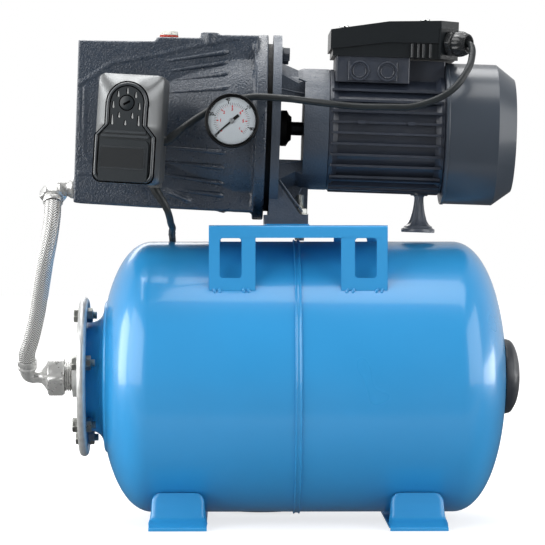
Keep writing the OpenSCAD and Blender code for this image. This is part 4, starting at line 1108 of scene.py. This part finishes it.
class PUMPSET_OT_platform(bpy.types.Operator):
    """Makes the folded platform with its legs and weld spots"""
    bl_idname = "pump_set.platform"
    bl_label = "Platform"

    def execute(self, context):
        bm = bmesh.new()
        half_l, half_w, top, thick = 89, 105.5, 303.3, 2.5
        skirt = top - 12.5

        def fold(r):
            """The bend between the front skirt and the top."""
            return [(3 - half_w - r * math.cos(a), top - 3 + r * math.sin(a))
                    for a in (math.radians(18 * k) for k in range(6))]

        section = [(-half_w, skirt)] + fold(3) + [(-y, z) for y, z in reversed(fold(3))]
        section += [(half_w, skirt), (half_w - thick, skirt)]
        section += [(-y, z) for y, z in fold(0.5)] + fold(0.5)[::-1] + [(-half_w + thick, skirt)]
        loft(bm, [[(x, y, z) for y, z in section] for x in (-half_l, half_l)])
        for y in (-half_w, half_w - thick):
            place = moved(0, y + thick, 0) @ UPRIGHT
            for side in (-1, 1):
                self.leg(bm, side, half_l, top - 12, thick, place)
        plate(bm, rounded(45, 124, 3, -10.5, 0), top - 1, 304.7, ease=0.5)
        piece("platform_sheet", bm, "sheet paint", replaces=("pump_platform",), crease=40)
        bm = bmesh.new()
        for y in (-1, 1):
            for x in (-83.3, -78, -54.2, -49.2, 48.2, 54.6, 78, 83):
                lean = math.copysign(18, x)
                self.blob(bm, moved(x, y * 105.9, 237.7) @ turned(lean, "Y") @ UPRIGHT)
        piece("platform_welds", bm, "sheet paint", crease=80)
        return {"FINISHED"}

    def leg(self, bm, side, outer, high, thick, place):
        """A leg with its window, on one side of the platform."""
        low, inner = 238, outer - 46.5
        outline = [(side * outer, low), (side * inner, low), (side * inner, high - 0.4),
                   (side * (inner - 0.8), high), (side * outer, high)]
        window = [(u, min(v, high - 0.02)) for u, v in rounded(21.5, 39.5, 3, side * 67.25, 270.75, 3)]
        plate(bm, outline, 0, thick, place, ease=0.7, holes=(window,))

    def blob(self, bm, place):
        """A small weld spot."""
        part = bmesh.new()
        bmesh.ops.create_icosphere(part, subdivisions=3, radius=1)
        for v in part.verts:
            k = 1 + 0.18 * noise.noise(v.co * 2.1 + place.to_translation())
            v.co = Vector((v.co.x * 1.6 * k, v.co.y * 3.4 * k, v.co.z * 1.8 * k))
        add(bm, part, place)


# Pump
CASING_DEPTH = 58


def on_casing(spot):
    """Where a point of the picture lies on the casing's flat front, along and up."""
    return picture_point(spot, PUMP, CASING_DEPTH)


def casing_front(x, z):
    """How far the casing's front lies from its middle."""
    stations = [(-223.4, 42), (-189.4, 62), (-137, 69), (-95, 80), (-62, 88), (-36.4, 88)]
    r = stations[-1][1]
    for (x0, r0), (x1, r1) in zip(stations, stations[1:]):
        if x <= x1:
            r = r0 + (r1 - r0) * max(0.0, (x - x0) / (x1 - x0))
            break
    bell = math.sqrt(r * r - z * z) if abs(z) < r else 0.0
    return max(bell, CASING_DEPTH if -86 < z < 88 else 0)


class PUMPSET_OT_casing(bpy.types.Operator):
    """Makes the cast pump casing with its relief, the motor bracket and the priming plug"""
    bl_idname = "pump_set.casing"
    bl_label = "Casing and bracket"

    def execute(self, context):
        cast("casing_casting", "pump_casing", "casting paint", PUMP, 1.45, 2, self.relief)
        self.ribs()
        eased("bracket_casting", "motor_bracket", "bracket paint", PUMP, 0.7,
              self.bracket_relief)
        self.priming()
        return {"FINISHED"}

    def relief(self, bm):
        """Edges and bosses that are cast on the front and, mirrored, on the back."""
        boss_x = on_casing(TOP_BOSS)[0]
        for side in (-1, 1):
            for r, spots in CASING_EDGES:
                line = [(x, side * (casing_front(x, z) - r * 0.45), z) for x, z in map(on_casing, spots)]
                self.raised_line(bm, line, r)
            turn(bm, [(0, 80), (9.4, 80), (9.4, 91.4), (8.6, 92.4), (0, 92.4)], 48,
                 moved(boss_x, side * 50.5, 0) @ TO_Z, closed=False)

    def raised_line(self, bm, points, r):
        """A low round line through points."""
        line = smooth_line(points, 5)
        sleeve(bm, line, [r] * len(line), 10)

    def ribs(self):
        """The long ribs on the front and, mirrored, on the back."""
        bm = bmesh.new()
        for side in (-1, 1):
            for high, start, end in CASING_RIBS:
                self.rib(bm, on_casing(start), on_casing(end), high, side)
        piece("casing_ribs", bm, "casting paint", place=PUMP, crease=50)

    def rib(self, bm, start, end, high, side):
        """A long rib that rises to a blunt end."""
        loops = []
        count = 18
        for k in range(count + 1):
            t = k / count
            x = start[0] + (end[0] - start[0]) * t
            z = start[1] + (end[1] - start[1]) * t
            y = casing_front(x, z)
            h = high * (0.12 + 0.88 * t)
            w = 1.4 + 1.8 * t
            if k == count - 1:
                h *= 0.8
            if k == count:
                h, w = h * 0.05, 1.8
            shape = ((-w, -1.6), (-w, 0.0), (-0.62 * w, h * 0.72), (-0.3 * w, h), (0.3 * w, h),
                     (0.62 * w, h * 0.72), (w, 0.0), (w, -1.6))
            loops.append([(x, side * (y + up), z + across) for across, up in shape])
        loft(bm, loops)

    def bracket_relief(self, bm):
        """Raised lines on the bracket's arms and along its gussets."""
        for depth, spots in BRACKET_LINES:
            places = [picture_point(spot, PUMP, depth) for spot in spots]
            for side in (-1, 1):
                self.raised_line(bm, [(x, side * depth, z) for x, z in places], 0.9)

    def priming(self):
        """The white priming plug on its red gasket."""
        bm = bmesh.new()
        spot = moved(-133.6, 0, 0) @ TO_Z
        hexagon(bm, 92.4, 96.0, 17, spot @ turned(10, "X"))
        turn(bm, [(0, 75.5), (5.6, 75.5), (6.2, 76.5), (6.2, 91.4), (9.4, 91.4), (9.6, 91.7), (9.6, 92.5),
                  (0, 92.5)], 48, spot, closed=False)
        piece("priming_stopper", bm, "white plastic", body="priming", place=PUMP,
              replaces=("priming_plug",))
        bm = bmesh.new()
        turn(bm, [(6.6, 89.05), (9.2, 89.05), (9.6, 89.5), (9.7, 90.2), (9.6, 90.9), (9.2, 91.3),
                  (6.6, 91.3)], 48, spot)
        piece("priming_seal", bm, "red fibre", place=PUMP, replaces=("priming_gasket",))


# Motor
FIN_ROW = 6.7
FIN_PITCH = 11


class PUMPSET_OT_motor(bpy.types.Operator):
    """Makes the finned housing, the fan cover's rim and the support foot"""
    bl_idname = "pump_set.motor"
    bl_label = "Motor"

    def execute(self, context):
        self.housing()
        bm = bmesh.new()
        turn(bm, [(72.2, 150.25), (72.9, 150.4), (73.1, 151), (73.1, 153), (72.8, 153.6), (72.2, 153.8)],
             160)
        piece("cover_rim", bm, "cover paint", place=PUMP)
        self.foot()
        return {"FINISHED"}

    def housing(self):
        """The housing: a wall with an end ring at each side, the fins, and the terminal block on top."""
        bm = bmesh.new()
        turn(bm, [(51.2, 32), (60.8, 32), (61.9, 32.8), (62, 36.4), (57.6, 41.4), (57.6, 140.6),
                  (62, 145.6), (61.9, 149.2), (60.8, 150), (51.2, 150)], 160)
        self.fins(bm)
        plate(bm, rounded(75.1, 86, 1.6, 75.15, 0), 48, 73.9, ease=1.0)
        plate(bm, rounded(37.8, 52, 1.5, 130.9, 0), 40, 72.4, ease=1.0)
        for side in (-1, 1):
            self.side_relief(bm, side)
        stud = [(0, -50), (9, -50), (9, -64.2), (8.4, -64.9), (0, -64.9)]
        turn(bm, stud, 64, moved(129, 0, 0) @ TO_Z, closed=False)
        piece("housing_casting", bm, "motor paint", place=PUMP, replaces=("motor_housing",),
              crease=36)

    def fins(self, bm):
        """The fins: level ones from front to back, fanned ones below, and short upright ones on top."""
        middle, length = 91, 113.4
        half = 1.2
        for k in range(-5, 5):
            z = FIN_ROW + FIN_PITCH * (k - 1)
            reach = math.sqrt(63.9 ** 2 - z * z)
            plate(bm, rounded(length, 2 * reach, 1.2, middle, 0), z - half, z + half, ease=0.8)
        for k in range(8):
            place = turned(-215 + 10 * k, "X") @ UPRIGHT
            plate(bm, rounded(length, 12, 1.2, middle, 57.9), -half, half, place, ease=0.8)
        for k in range(-2, 3):
            y = FIN_PITCH * k
            plate(bm, rounded(33, 20, 1, 129.5, 60), y - half, y + half, UPRIGHT, ease=0.8)

    def side_relief(self, bm, side):
        """The frame, the small bosses and the knockouts of one side."""
        plate(bm, rounded(50, 5, 1, 75, side * 42.4), 50, 69, ease=0.6)
        place = moved(0, side * 65, FIN_ROW) @ UPRIGHT
        for x in (65, 115.6):
            boss = [(x - 5.2, 0), (x - 3.6, -1.9), (x + 3.6, -1.9), (x + 5.2, 0), (x + 3.6, 1.9),
                    (x - 3.6, 1.9)]
            plate(bm, boss, -1.6, 1.6, place, ease=0.3)
        outward = TO_FRONT if side < 0 else turned(180, "Z") @ TO_FRONT
        for x in (61.5, 89.8):
            spot = moved(x, side * 44.9, 59.4) @ outward
            turn(bm, [(8.4, -0.4), (8.4, 1.0), (8.8, 1.5), (9.7, 1.5), (10.2, 1.0), (10.2, -0.4)], 64, spot)
            turn(bm, [(6.2, -0.4), (6.2, 0.5), (6.6, 0.8), (7.0, 0.5), (7.0, -0.4)], 64, spot)

    def foot(self):
        """The fluted plastic foot under the motor."""
        def flutes(r, x, a):
            depth = 0.2 * ease((x + 97) / 5) * ease((-66.5 - x) / 4)
            return r * (1 - depth * (0.5 - 0.5 * math.cos(8 * a)))

        bm = bmesh.new()
        profile = [(0, -102.6), (16.6, -102.6), (17.2, -102), (17.2, -99.6), (16.7, -98.7), (15.2, -98.1),
                   (14.6, -97.2), (14.3, -96.2), (12.5, -95.2), (11, -93.8), (9.7, -92), (8.5, -89.4),
                   (7.5, -86), (6.6, -82.4), (5.9, -79), (5.2, -74), (4.8, -70), (4.8, -66.5), (5.5, -65.6),
                   (5.5, -64.9), (2.9, -64.9), (2.9, -57), (0, -57)]
        turn(bm, profile, 128, moved(129, 0, 0) @ TO_Z, closed=False, radius=flutes)
        piece("foot_moulding", bm, "foot plastic", place=PUMP, replaces=("motor_foot",))


class PUMPSET_OT_terminal_box(bpy.types.Operator):
    """Makes the terminal box, its lid, the screws and the cable gland"""
    bl_idname = "pump_set.terminal_box"
    bl_label = "Terminal box"

    def execute(self, context):
        eased("lid_moulding", "terminal_lid", "box plastic", PUMP, 1.0)
        eased("box_moulding", "terminal_box", "box plastic", PUMP, 0.6, self.box_ribs)
        bm = bmesh.new()
        for x, lid in ((45, 102.63), (127, 111.93)):
            head = [(0, 77), (1.8, 77), (1.8, lid + 0.5), (4.8, lid + 0.5), (5, lid + 0.9),
                    (4.9, lid + 1.9), (4, lid + 2.6), (1.6, lid + 2.8), (0, lid + 2.8)]
            for y in (-37, 37):
                turn(bm, head, 32, moved(x, y, 0) @ TO_Z, closed=False)
        piece("lid_screwing", bm, "bright steel", place=PUMP, replaces=("lid_screws",))
        self.gland()
        return {"FINISHED"}

    def box_ribs(self, bm):
        """The four upright ribs with round fronts, under the lid."""
        for spot in BOX_RIBS:
            x = picture_point(spot, PUMP, 48)[0]
            turn(bm, [(0, 74.6), (1.3, 74.6), (1.3, 88.4), (0, 88.4)], 20, moved(x, -47, 0) @ TO_Z,
                 closed=False)

    def gland(self):
        """The gland's body and its ribbed nut with an open mouth."""
        bm = bmesh.new()
        hexagon(bm, 0.4, 7.9, 24, bore=3.7)
        turn(bm, [(3.7, -6), (7.6, -6), (8, -5.4), (8, 0.6), (3.7, 0.6)], 48)
        piece("gland_body", bm, "gland plastic", place=GLAND, replaces=("cable_gland",))

        def ribs(r, x, a):
            grip = 0.9 * (0.5 + 0.5 * math.cos(12 * a)) * ease((x - 8.2) / 1.5) * ease((19 - x) / 2.5)
            return r + (grip if r > 10.5 else 0.0)

        bm = bmesh.new()
        profile = [(3.7, 8.1), (11.6, 8.1), (12.2, 8.7), (12.3, 11), (12.1, 15), (11.8, 17.6), (11.2, 19.4),
                   (10.6, 20.8), (10.1, 22.4), (9.5, 23), (8.6, 23), (7.6, 21.8), (5.4, 18.6), (3.7, 16.4)]
        turn(bm, profile, 144, radius=ribs)
        piece("gland_cap", bm, "gland plastic", place=GLAND, replaces=("gland_nut",),
              crease=45)


# Pressure switch
SWITCH_RAYS = 288
FRONT_DEPTH = 53


def traced(inside):
    """The outline of a shape round its middle, by halving along rays; inside tells if it holds a place."""
    points = []
    for c, s in circle(1, SWITCH_RAYS):
        low, high = 0.0, 200.0
        for _ in range(34):
            mid = (low + high) / 2
            low, high = (mid, high) if inside(mid * c, mid * s) else (low, mid)
        points.append((low * c, low * s))
    return points


def block(grow):
    """The outline of the switch's wall, a rectangle of 66 by 108 with round corners, grown all round."""
    corner = 7

    def inside(u, v):
        x, y = abs(u) - (33 + grow - corner), abs(v) - (54 + grow - corner)
        return math.hypot(max(x, 0), max(y, 0)) + min(max(x, y), 0) < corner

    return traced(inside)


def keyhole_inside(u, v, grow):
    """True inside the switch's front: a round head, a neck and a wider body with round lower corners."""
    radius = 20.6 + grow
    if math.hypot(u - 1, v - 25) < radius:
        return True
    bottom, corner = -52.6 - grow, 8 + grow * 0.5
    half = radius + min(9.4, max(0.0, 3.5 - v) * 0.86)
    across = abs(u - 0.6)
    if across > half or v > 25:
        return False
    x, y = across - (half - corner), bottom + corner - v
    if x > 0 and y > 0:
        return math.hypot(x, y) < corner
    return v > bottom


def keyhole(grow):
    """The outline of the switch's front, grown all round."""
    return traced(lambda u, v: keyhole_inside(u, v, grow))


class PUMPSET_OT_switch(bpy.types.Operator):
    """Makes the pressure switch's cover, its front and its screw"""
    bl_idname = "pump_set.switch"
    bl_label = "Pressure switch"

    def execute(self, context):
        self.shell()
        self.rim()
        self.front()
        self.screw()
        return {"FINISHED"}

    def loops(self, rows):
        """Loops of points from rows of an outline's function, its growth and its depth."""
        return [[(u, -depth, v) for u, v in shape(grow)] for shape, grow, depth in rows]

    def shell(self):
        """The hollow cover; the slope from its wall to its front is smoothed."""
        steps = 16
        wall = self.loops(((keyhole, -3, 47.5), (block, -5.5, 31.5), (block, -2.4, 30), (block, -2.4, 18.4),
                           (block, -0.2, 18.4), (block, 0, 19.2), (block, -0.1, 33.5)))
        low, rise = 35.2, 16
        ends = list(zip(block(-0.3), keyhole(0.2)))
        slope = [[((1 - t) * a[0] + t * b[0], -low - rise * t, (1 - t) * a[1] + t * b[1]) for a, b in ends]
                 for t in (k / steps for k in range(steps + 1))]
        bm = bmesh.new()
        loft(bm, wall + slope)
        bm.verts.ensure_lookup_table()
        start = len(wall) * SWITCH_RAYS
        verts = [bm.verts[k] for k in range(start, start + (steps - 1) * SWITCH_RAYS)]
        for _ in range(60):
            bmesh.ops.smooth_vert(bm, verts=verts, factor=0.5, use_axis_x=True, use_axis_y=True,
                                  use_axis_z=True)
        piece("switch_shell", bm, "switch plastic", place=SWITCH,
              replaces=("switch_cover",), crease=50)

    def rim(self):
        """The dark rim round the front, the front inside it, and a thin band of painted shade on each side of
        the rim.
        """
        ring = self.loops(((keyhole, 0.1, 49.5), (keyhole, -0.2, 52.2), (keyhole, -0.7, 53.4),
                           (keyhole, -1.4, 54), (keyhole, -2.3, 54), (keyhole, -3.2, 53.5),
                           (keyhole, -3.7, 52.4)))
        bm = bmesh.new()
        loft(bm, ring + ring[:1], capped=False)
        piece("switch_rim", bm, "switch rim", place=SWITCH, crease=50)
        bm = bmesh.new()
        loft(bm, self.loops(((keyhole, -2.8, 50.5), (keyhole, -3.3, 52.5), (keyhole, -3.7, 53.1))))
        piece("switch_front", bm, "switch face", place=SWITCH, crease=40)
        bm = bmesh.new()
        # Bands of painted shade in the gaps on each side of the rim
        for near, far, depth in ((-3.1, -4.3, 53.5), (1.0, -0.1, 52.0)):
            groove = self.loops(((keyhole, near, depth - 1), (keyhole, near, depth), (keyhole, far, depth),
                                 (keyhole, far, depth - 1)))
            loft(bm, groove + groove[:1], capped=False)
        piece("switch_grooves", bm, "black slot", place=SWITCH, crease=40)

    def front(self):
        """The bare label plate in its frame, soft steps and the vent slots; each slot is a light sliver of
        painted highlight on a wider, darker sliver of painted shadow.
        """
        face = SWITCH @ UPRIGHT
        (u0, v0), (u1, v1) = (picture_point(spot, SWITCH, FRONT_DEPTH) for spot in PLATE_CORNERS)
        middle = ((u0 + u1) / 2, (v0 + v1) / 2)
        wide, high = u1 - u0, v0 - v1
        bm = bmesh.new()
        plate(bm, rounded(49, 41, 5, 0.6, -31.4), 51.6, 55.2, face, ease=1.9)
        piece("switch_panel", bm, "switch face", crease=60)
        bm = bmesh.new()
        plate(bm, rounded(wide, high, 1.0, *middle), 54.4, 55.3, face, ease=0.15)
        piece("switch_plate", bm, "bare plate")
        bm = bmesh.new()
        opening = rounded(wide + 1.4, high + 1.4, 1.6, *middle)
        plate(bm, rounded(wide + 3.6, high + 3.6, 2.2, *middle), 54.4, 55.9, face, ease=0.5,
              holes=(opening,))
        for v, w, tall in ((-3.4, 42, 2.4), (-7.6, 48, 2.6)):
            plate(bm, rounded(w, tall, tall * 0.45, 0.6, v), 52.2, 54.5, face, ease=1.0)
        piece("switch_steps", bm, "switch rim", crease=50)
        dark = bmesh.new()
        light = bmesh.new()
        # Each vent slot: a dark sliver of painted shadow set to the left, under a light sliver of painted
        # highlight
        for length, spot in SWITCH_SLOTS:
            place = face @ moved(*picture_point(spot, SWITCH, FRONT_DEPTH), 0) @ turned(2, "Z")
            self.slot(dark, place, length, 0.55, -0.55, 53.25)
            self.slot(light, place, length, 0.0, 0.0, 53.45)
        piece("switch_slots", dark, "black slot")
        piece("switch_slot_ribs", light, "slot light")

    def slot(self, bm, place, length, w, x, top):
        """A slot's sliver that is a little wider at its lower end, drawn in painted highlight or painted
        shadow.
        """
        h = length / 2 + w * 0.6
        outline = [(x - 0.25 - w, h), (x + 0.25 + w, h), (x + 0.85 + w * 0.6, -h + 0.9), (x + 0.55, -h),
                   (x - 0.55, -h), (x - 0.85 - w, -h + 0.9)]
        plate(bm, outline, 52.9, top, place, ease=0.06)

    def screw(self):
        """The cover's screw in its round recess, with a thin ring of painted shade round its head and its
        slot drawn as a dark strip of painted shade.
        """
        u, v = picture_point(SWITCH_SCREW, SWITCH, FRONT_DEPTH)
        place = moved(u, -FRONT_DEPTH, v)
        bm = bmesh.new()
        # A thin dark ring of painted shade in the gap round the head
        turn(bm, [(6.9, 0), (6.9, 0.35), (7.9, 0.35), (7.9, 0)], 64, place @ TO_FRONT)
        piece("screw_ring", bm, "black slot", place=SWITCH)
        bm = bmesh.new()
        turn(bm, [(0, 0.6), (6.2, 0.55), (6.8, 0.3), (6.9, 0), (6.9, -0.2), (2.8, -0.2), (2.8, -13),
                  (0, -13)], 64, place @ TO_FRONT, closed=False)
        piece("screw_head", bm, "switch face", place=SWITCH, replaces=("cover_screw",))
        bm = bmesh.new()
        # The slot: a dark strip of painted shade laid on the head, not cut in
        plate(bm, rounded(7.4, 2.1, 0.3), 0.4, 0.95, place @ turned(-31, "Y") @ UPRIGHT, ease=0.05)
        piece("screw_slot", bm, "black slot", place=SWITCH)


# Gauge
class PUMPSET_OT_gauge(bpy.types.Operator):
    """Makes the gauge: its case, dial, numbers and pointer"""
    bl_idname = "pump_set.gauge"
    bl_label = "Gauge"

    def execute(self, context):
        bm = bmesh.new()
        turn(bm, [(0, 113), (10, 112.2), (22, 112), (24.6, 112.8), (25.7, 114.5), (25.8, 128), (25.9, 130),
                  (26.6, 131), (26.9, 132.2), (26.9, 137.2), (26.5, 138.2), (25.9, 138.5), (25.4, 138.0),
                  (24.9, 137.6), (24.2, 137.8), (23.6, 137.0), (23.1, 135.5), (23.1, 133.6), (0, 133.6)], 144,
             TO_FRONT, closed=False)
        turn(bm, [(0, 76), (5.6, 76), (6.5, 77), (6.5, 92), (7, 92.1), (7, 112.4), (0, 112.4)], 40,
             TO_FRONT, closed=False)
        hexagon(bm, 92.3, 101, 14, TO_FRONT)
        piece("gauge_body", bm, "gauge black", place=GAUGE, replaces=("gauge_case",))
        bm = bmesh.new()
        turn(bm, [(0, 132.6), (23.5, 132.6), (23.6, 132.9), (23.5, 133.7), (0, 133.7)], 96, TO_FRONT,
             closed=False)
        piece("dial_plate", bm, "dial white", place=GAUGE, replaces=("gauge_dial",))
        self.scale()
        self.pointer()
        return {"FINISHED"}

    def scale(self):
        """Two scales: black outside, from 0 to 80, and red inside, from 0 to 6."""
        black, grey, red = bmesh.new(), bmesh.new(), bmesh.new()
        for value in range(0, 90, 2):
            angle = self.angle(value, 88)
            if value % 20 == 0:
                self.tick(black, angle, 16.6, 19.6, 1.0)
            else:
                self.tick(grey, angle, 15.4, 18.6 if value % 10 == 0 else 17.8, 0.5)
        for fifths in range(31):
            angle = self.angle(fifths / 5, 6)
            if fifths % 5 == 0:
                self.tick(red, angle, 13.2, 15.2, 1.2)
            else:
                self.tick(red, angle, 14.2, 15.2, 0.3)
        for value in range(0, 81, 20):
            self.number(black, value, self.angle(value, 88), 21.2, 4.2)
        for value in range(1, 7):
            self.number(red, value, self.angle(value, 6), 11.2, 4.0)
        for name, bm, colour in (("black", black, "dial black"), ("grey", grey, "dial grey"),
                                 ("red", red, "dial red")):
            piece("dial_scale_" + name, bm, colour, place=GAUGE @ UPRIGHT)

    def angle(self, value, full):
        """Where a value stands on a scale that runs over 270 degrees to its full value."""
        return 225 - value * 270 / full

    def tick(self, bm, angle, r0, r1, wide):
        outline = [(r0, -wide / 2), (r1, -wide / 2), (r1, wide / 2), (r0, wide / 2)]
        plate(bm, outline, 133.6, 133.76, turned(angle, "Z"))

    def number(self, bm, value, angle, r, size):
        """A number on the dial, as a thin mesh."""
        font = bpy.data.curves.new("digits", "FONT")
        font.body = str(value)
        font.size = size
        font.align_x = "CENTER"
        font.align_y = "CENTER"
        font.extrude = 0.05
        font.offset = 0.16
        part = evaluated_mesh(bpy.data.objects.new("digits", font))
        bpy.data.curves.remove(font)
        a = math.radians(angle)
        add(bm, part, moved(r * math.cos(a), r * math.sin(a), 133.72))

    def pointer(self):
        """The pointer with its round hub and short tail."""
        face = UPRIGHT @ turned(222, "Z")
        bm = bmesh.new()
        plate(bm, [(-8.6, -1.5), (-2, -1.5), (-2, -0.95), (10, -0.8), (22.2, -0.3), (22.2, 0.3), (10, 0.8),
                   (-2, 0.95), (-2, 1.5), (-8.6, 1.5)], 134.2, 134.8, face, ease=0.08)
        turn(bm, [(0, 127), (1.2, 127), (1.2, 134.6), (0, 134.6)], 32, TO_FRONT, closed=False)
        piece("pointer_arm", bm, "dial black", body="pointer", place=GAUGE,
              replaces=("gauge_pointer",))
        bm = bmesh.new()
        turn(bm, [(0, 134), (2.4, 134), (2.6, 134.3), (2.6, 135.3), (2.1, 135.6), (0, 135.6)], 48, TO_FRONT,
             closed=False)
        piece("pointer_hub", bm, "hub grey", body="pointer", place=GAUGE)


# Hose fittings
class PUMPSET_OT_fittings(bpy.types.Operator):
    """Makes the two elbows with their nuts"""
    bl_idname = "pump_set.fittings"
    bl_label = "Hose fittings"

    def execute(self, context):
        self.upper()
        self.lower()
        return {"FINISHED"}

    def upper(self):
        """A bent tube from the casing to the hose, with a swivel nut."""
        corner = moved(-246.94, -40, 342.26)
        out = corner @ turned(1.9, "Y")
        down = corner @ turned(145, "X") @ TO_Z
        bm = bmesh.new()
        turn(bm, [(5, 6), (8.8, 6), (8.8, 13), (9.1, 14.6), (9.9, 16.4), (10.9, 17.8), (11.2, 19),
                  (11.2, 20.9), (10.9, 21.3), (9.2, 21.3), (9.2, 41), (5, 41)], 64, out)
        self.bend(bm, corner, out, down, 8.8, 8.6)
        turn(bm, [(5, 2), (9.6, 2), (10.2, 2.6), (10.2, 4.6), (5, 4.6)], 48, down)
        hexagon(bm, 4.2, 14, 24, down @ turned(30, "X"), bore=5)
        turn(bm, [(5, 13.6), (10.9, 13.6), (10.9, 14.4), (9.3, 14.8), (9.3, 15.4), (10.1, 16), (10.1, 19.4),
                  (9.6, 20.2), (5, 20.2)], 64, down)
        piece("pump_elbow", bm, "nickel", replaces=("upper_elbow",), crease=40)

    def lower(self):
        """An elbow, a reducer with a large hexagon and a threaded nipple."""
        out = moved(-276, 0, 147.5)
        up = out @ turned(37, "X") @ TO_Z
        bm = bmesh.new()
        turn(bm, [(4.5, 4), (6.8, 4), (6.5, 6), (6.4, 11), (7, 14), (8.6, 16.5), (4.5, 16.5)], 48, out)
        self.bend(bm, out, out, up, 6.6, 7.6)
        turn(bm, [(4.5, 5), (7.6, 5), (7.6, 10.6), (9.1, 11.2), (9.7, 12), (9.7, 15.2), (9.2, 15.8),
                  (9.2, 16.4), (9.7, 17), (9.7, 22.8), (9.2, 24), (4.5, 24)], 56, up)
        turn(bm, [(4.5, -261), (7.4, -261), (9.6, -259.4), (12.6, -257.2), (15.6, -255.3), (15.6, -254),
                  (4.5, -254)], 64, TANK)
        hexagon(bm, -255.2, -238.2, 36, TANK @ turned(8, "X"), bore=5)
        profile = [(5, -238.4), (13.2, -238.4)]
        for k in range(4):
            x = -237.8 + k * 2.2
            profile += [(13.2, x), (15.3, x + 0.8), (15.3, x + 1.2), (13.2, x + 2)]
        profile += [(15.1, -229), (15.1, -222.2), (5, -222.2)]
        turn(bm, profile, 72, TANK)
        piece("tank_elbow", bm, "nickel", replaces=("lower_elbow",), crease=40)

    def bend(self, bm, corner, a, b, ra, rb):
        """A smooth elbow between two directions, from one radius to another."""
        reach, steps = 7.5, 12
        at = corner.to_translation()
        va, vb = a.col[0].to_3d() * reach, b.col[0].to_3d() * reach
        parts = [k / steps for k in range(steps + 1)]
        sleeve(bm, [at + va * (1 - t) ** 2 + vb * t ** 2 for t in parts],
               [ra + (rb - ra) * t for t in parts], 40)


# What keeps its CAD shape
class PUMPSET_OT_kept_parts(bpy.types.Operator):
    """Gives every CAD part that keeps its shape the finish of its material slot"""
    bl_idname = "pump_set.kept_parts"
    bl_label = "Kept CAD parts"

    def execute(self, context):
        for part in frame["record"]["subparts"]:
            for place in nodes[part["node"]].material_slots:
                place.material = finish(SLOT_FINISH[part["material_slot"]])
        return {"FINISHED"}


class PUMPSET_PT_panel(bpy.types.Panel):
    """Lists the operators and the settings"""
    bl_idname = "PUMPSET_PT_panel"
    bl_label = "Booster pump set"
    bl_space_type = "VIEW_3D"
    bl_region_type = "UI"
    bl_category = "Pump Set"

    def draw(self, context):
        for operator in OPERATORS:
            self.layout.operator(operator.bl_idname)
        for name in PumpSetSettings.__annotations__:
            self.layout.prop(context.scene.pump_set, name)


OPERATORS = (PUMPSET_OT_stage, PUMPSET_OT_cords, PUMPSET_OT_hose, PUMPSET_OT_kept_parts, PUMPSET_OT_tank,
             PUMPSET_OT_flange, PUMPSET_OT_feet, PUMPSET_OT_platform, PUMPSET_OT_casing, PUMPSET_OT_motor,
             PUMPSET_OT_terminal_box, PUMPSET_OT_switch, PUMPSET_OT_gauge, PUMPSET_OT_fittings)
CLASSES = (PumpSetSettings, *OPERATORS, PUMPSET_PT_panel)


def register():
    for item in CLASSES:
        bpy.utils.register_class(item)
    bpy.types.Scene.pump_set = PointerProperty(type=PumpSetSettings)


def unregister():
    del bpy.types.Scene.pump_set
    for item in reversed(CLASSES):
        bpy.utils.unregister_class(item)


def main():
    register()
    bpy.ops.pump_set.stage()
    bpy.ops.pump_set.cords()
    bpy.ops.pump_set.hose()
    bpy.ops.pump_set.kept_parts()
    bpy.ops.pump_set.tank()
    bpy.ops.pump_set.flange()
    bpy.ops.pump_set.feet()
    bpy.ops.pump_set.platform()
    bpy.ops.pump_set.casing()
    bpy.ops.pump_set.motor()
    bpy.ops.pump_set.terminal_box()
    bpy.ops.pump_set.switch()
    bpy.ops.pump_set.gauge()
    bpy.ops.pump_set.fittings()


if __name__ == "__main__":
    main()
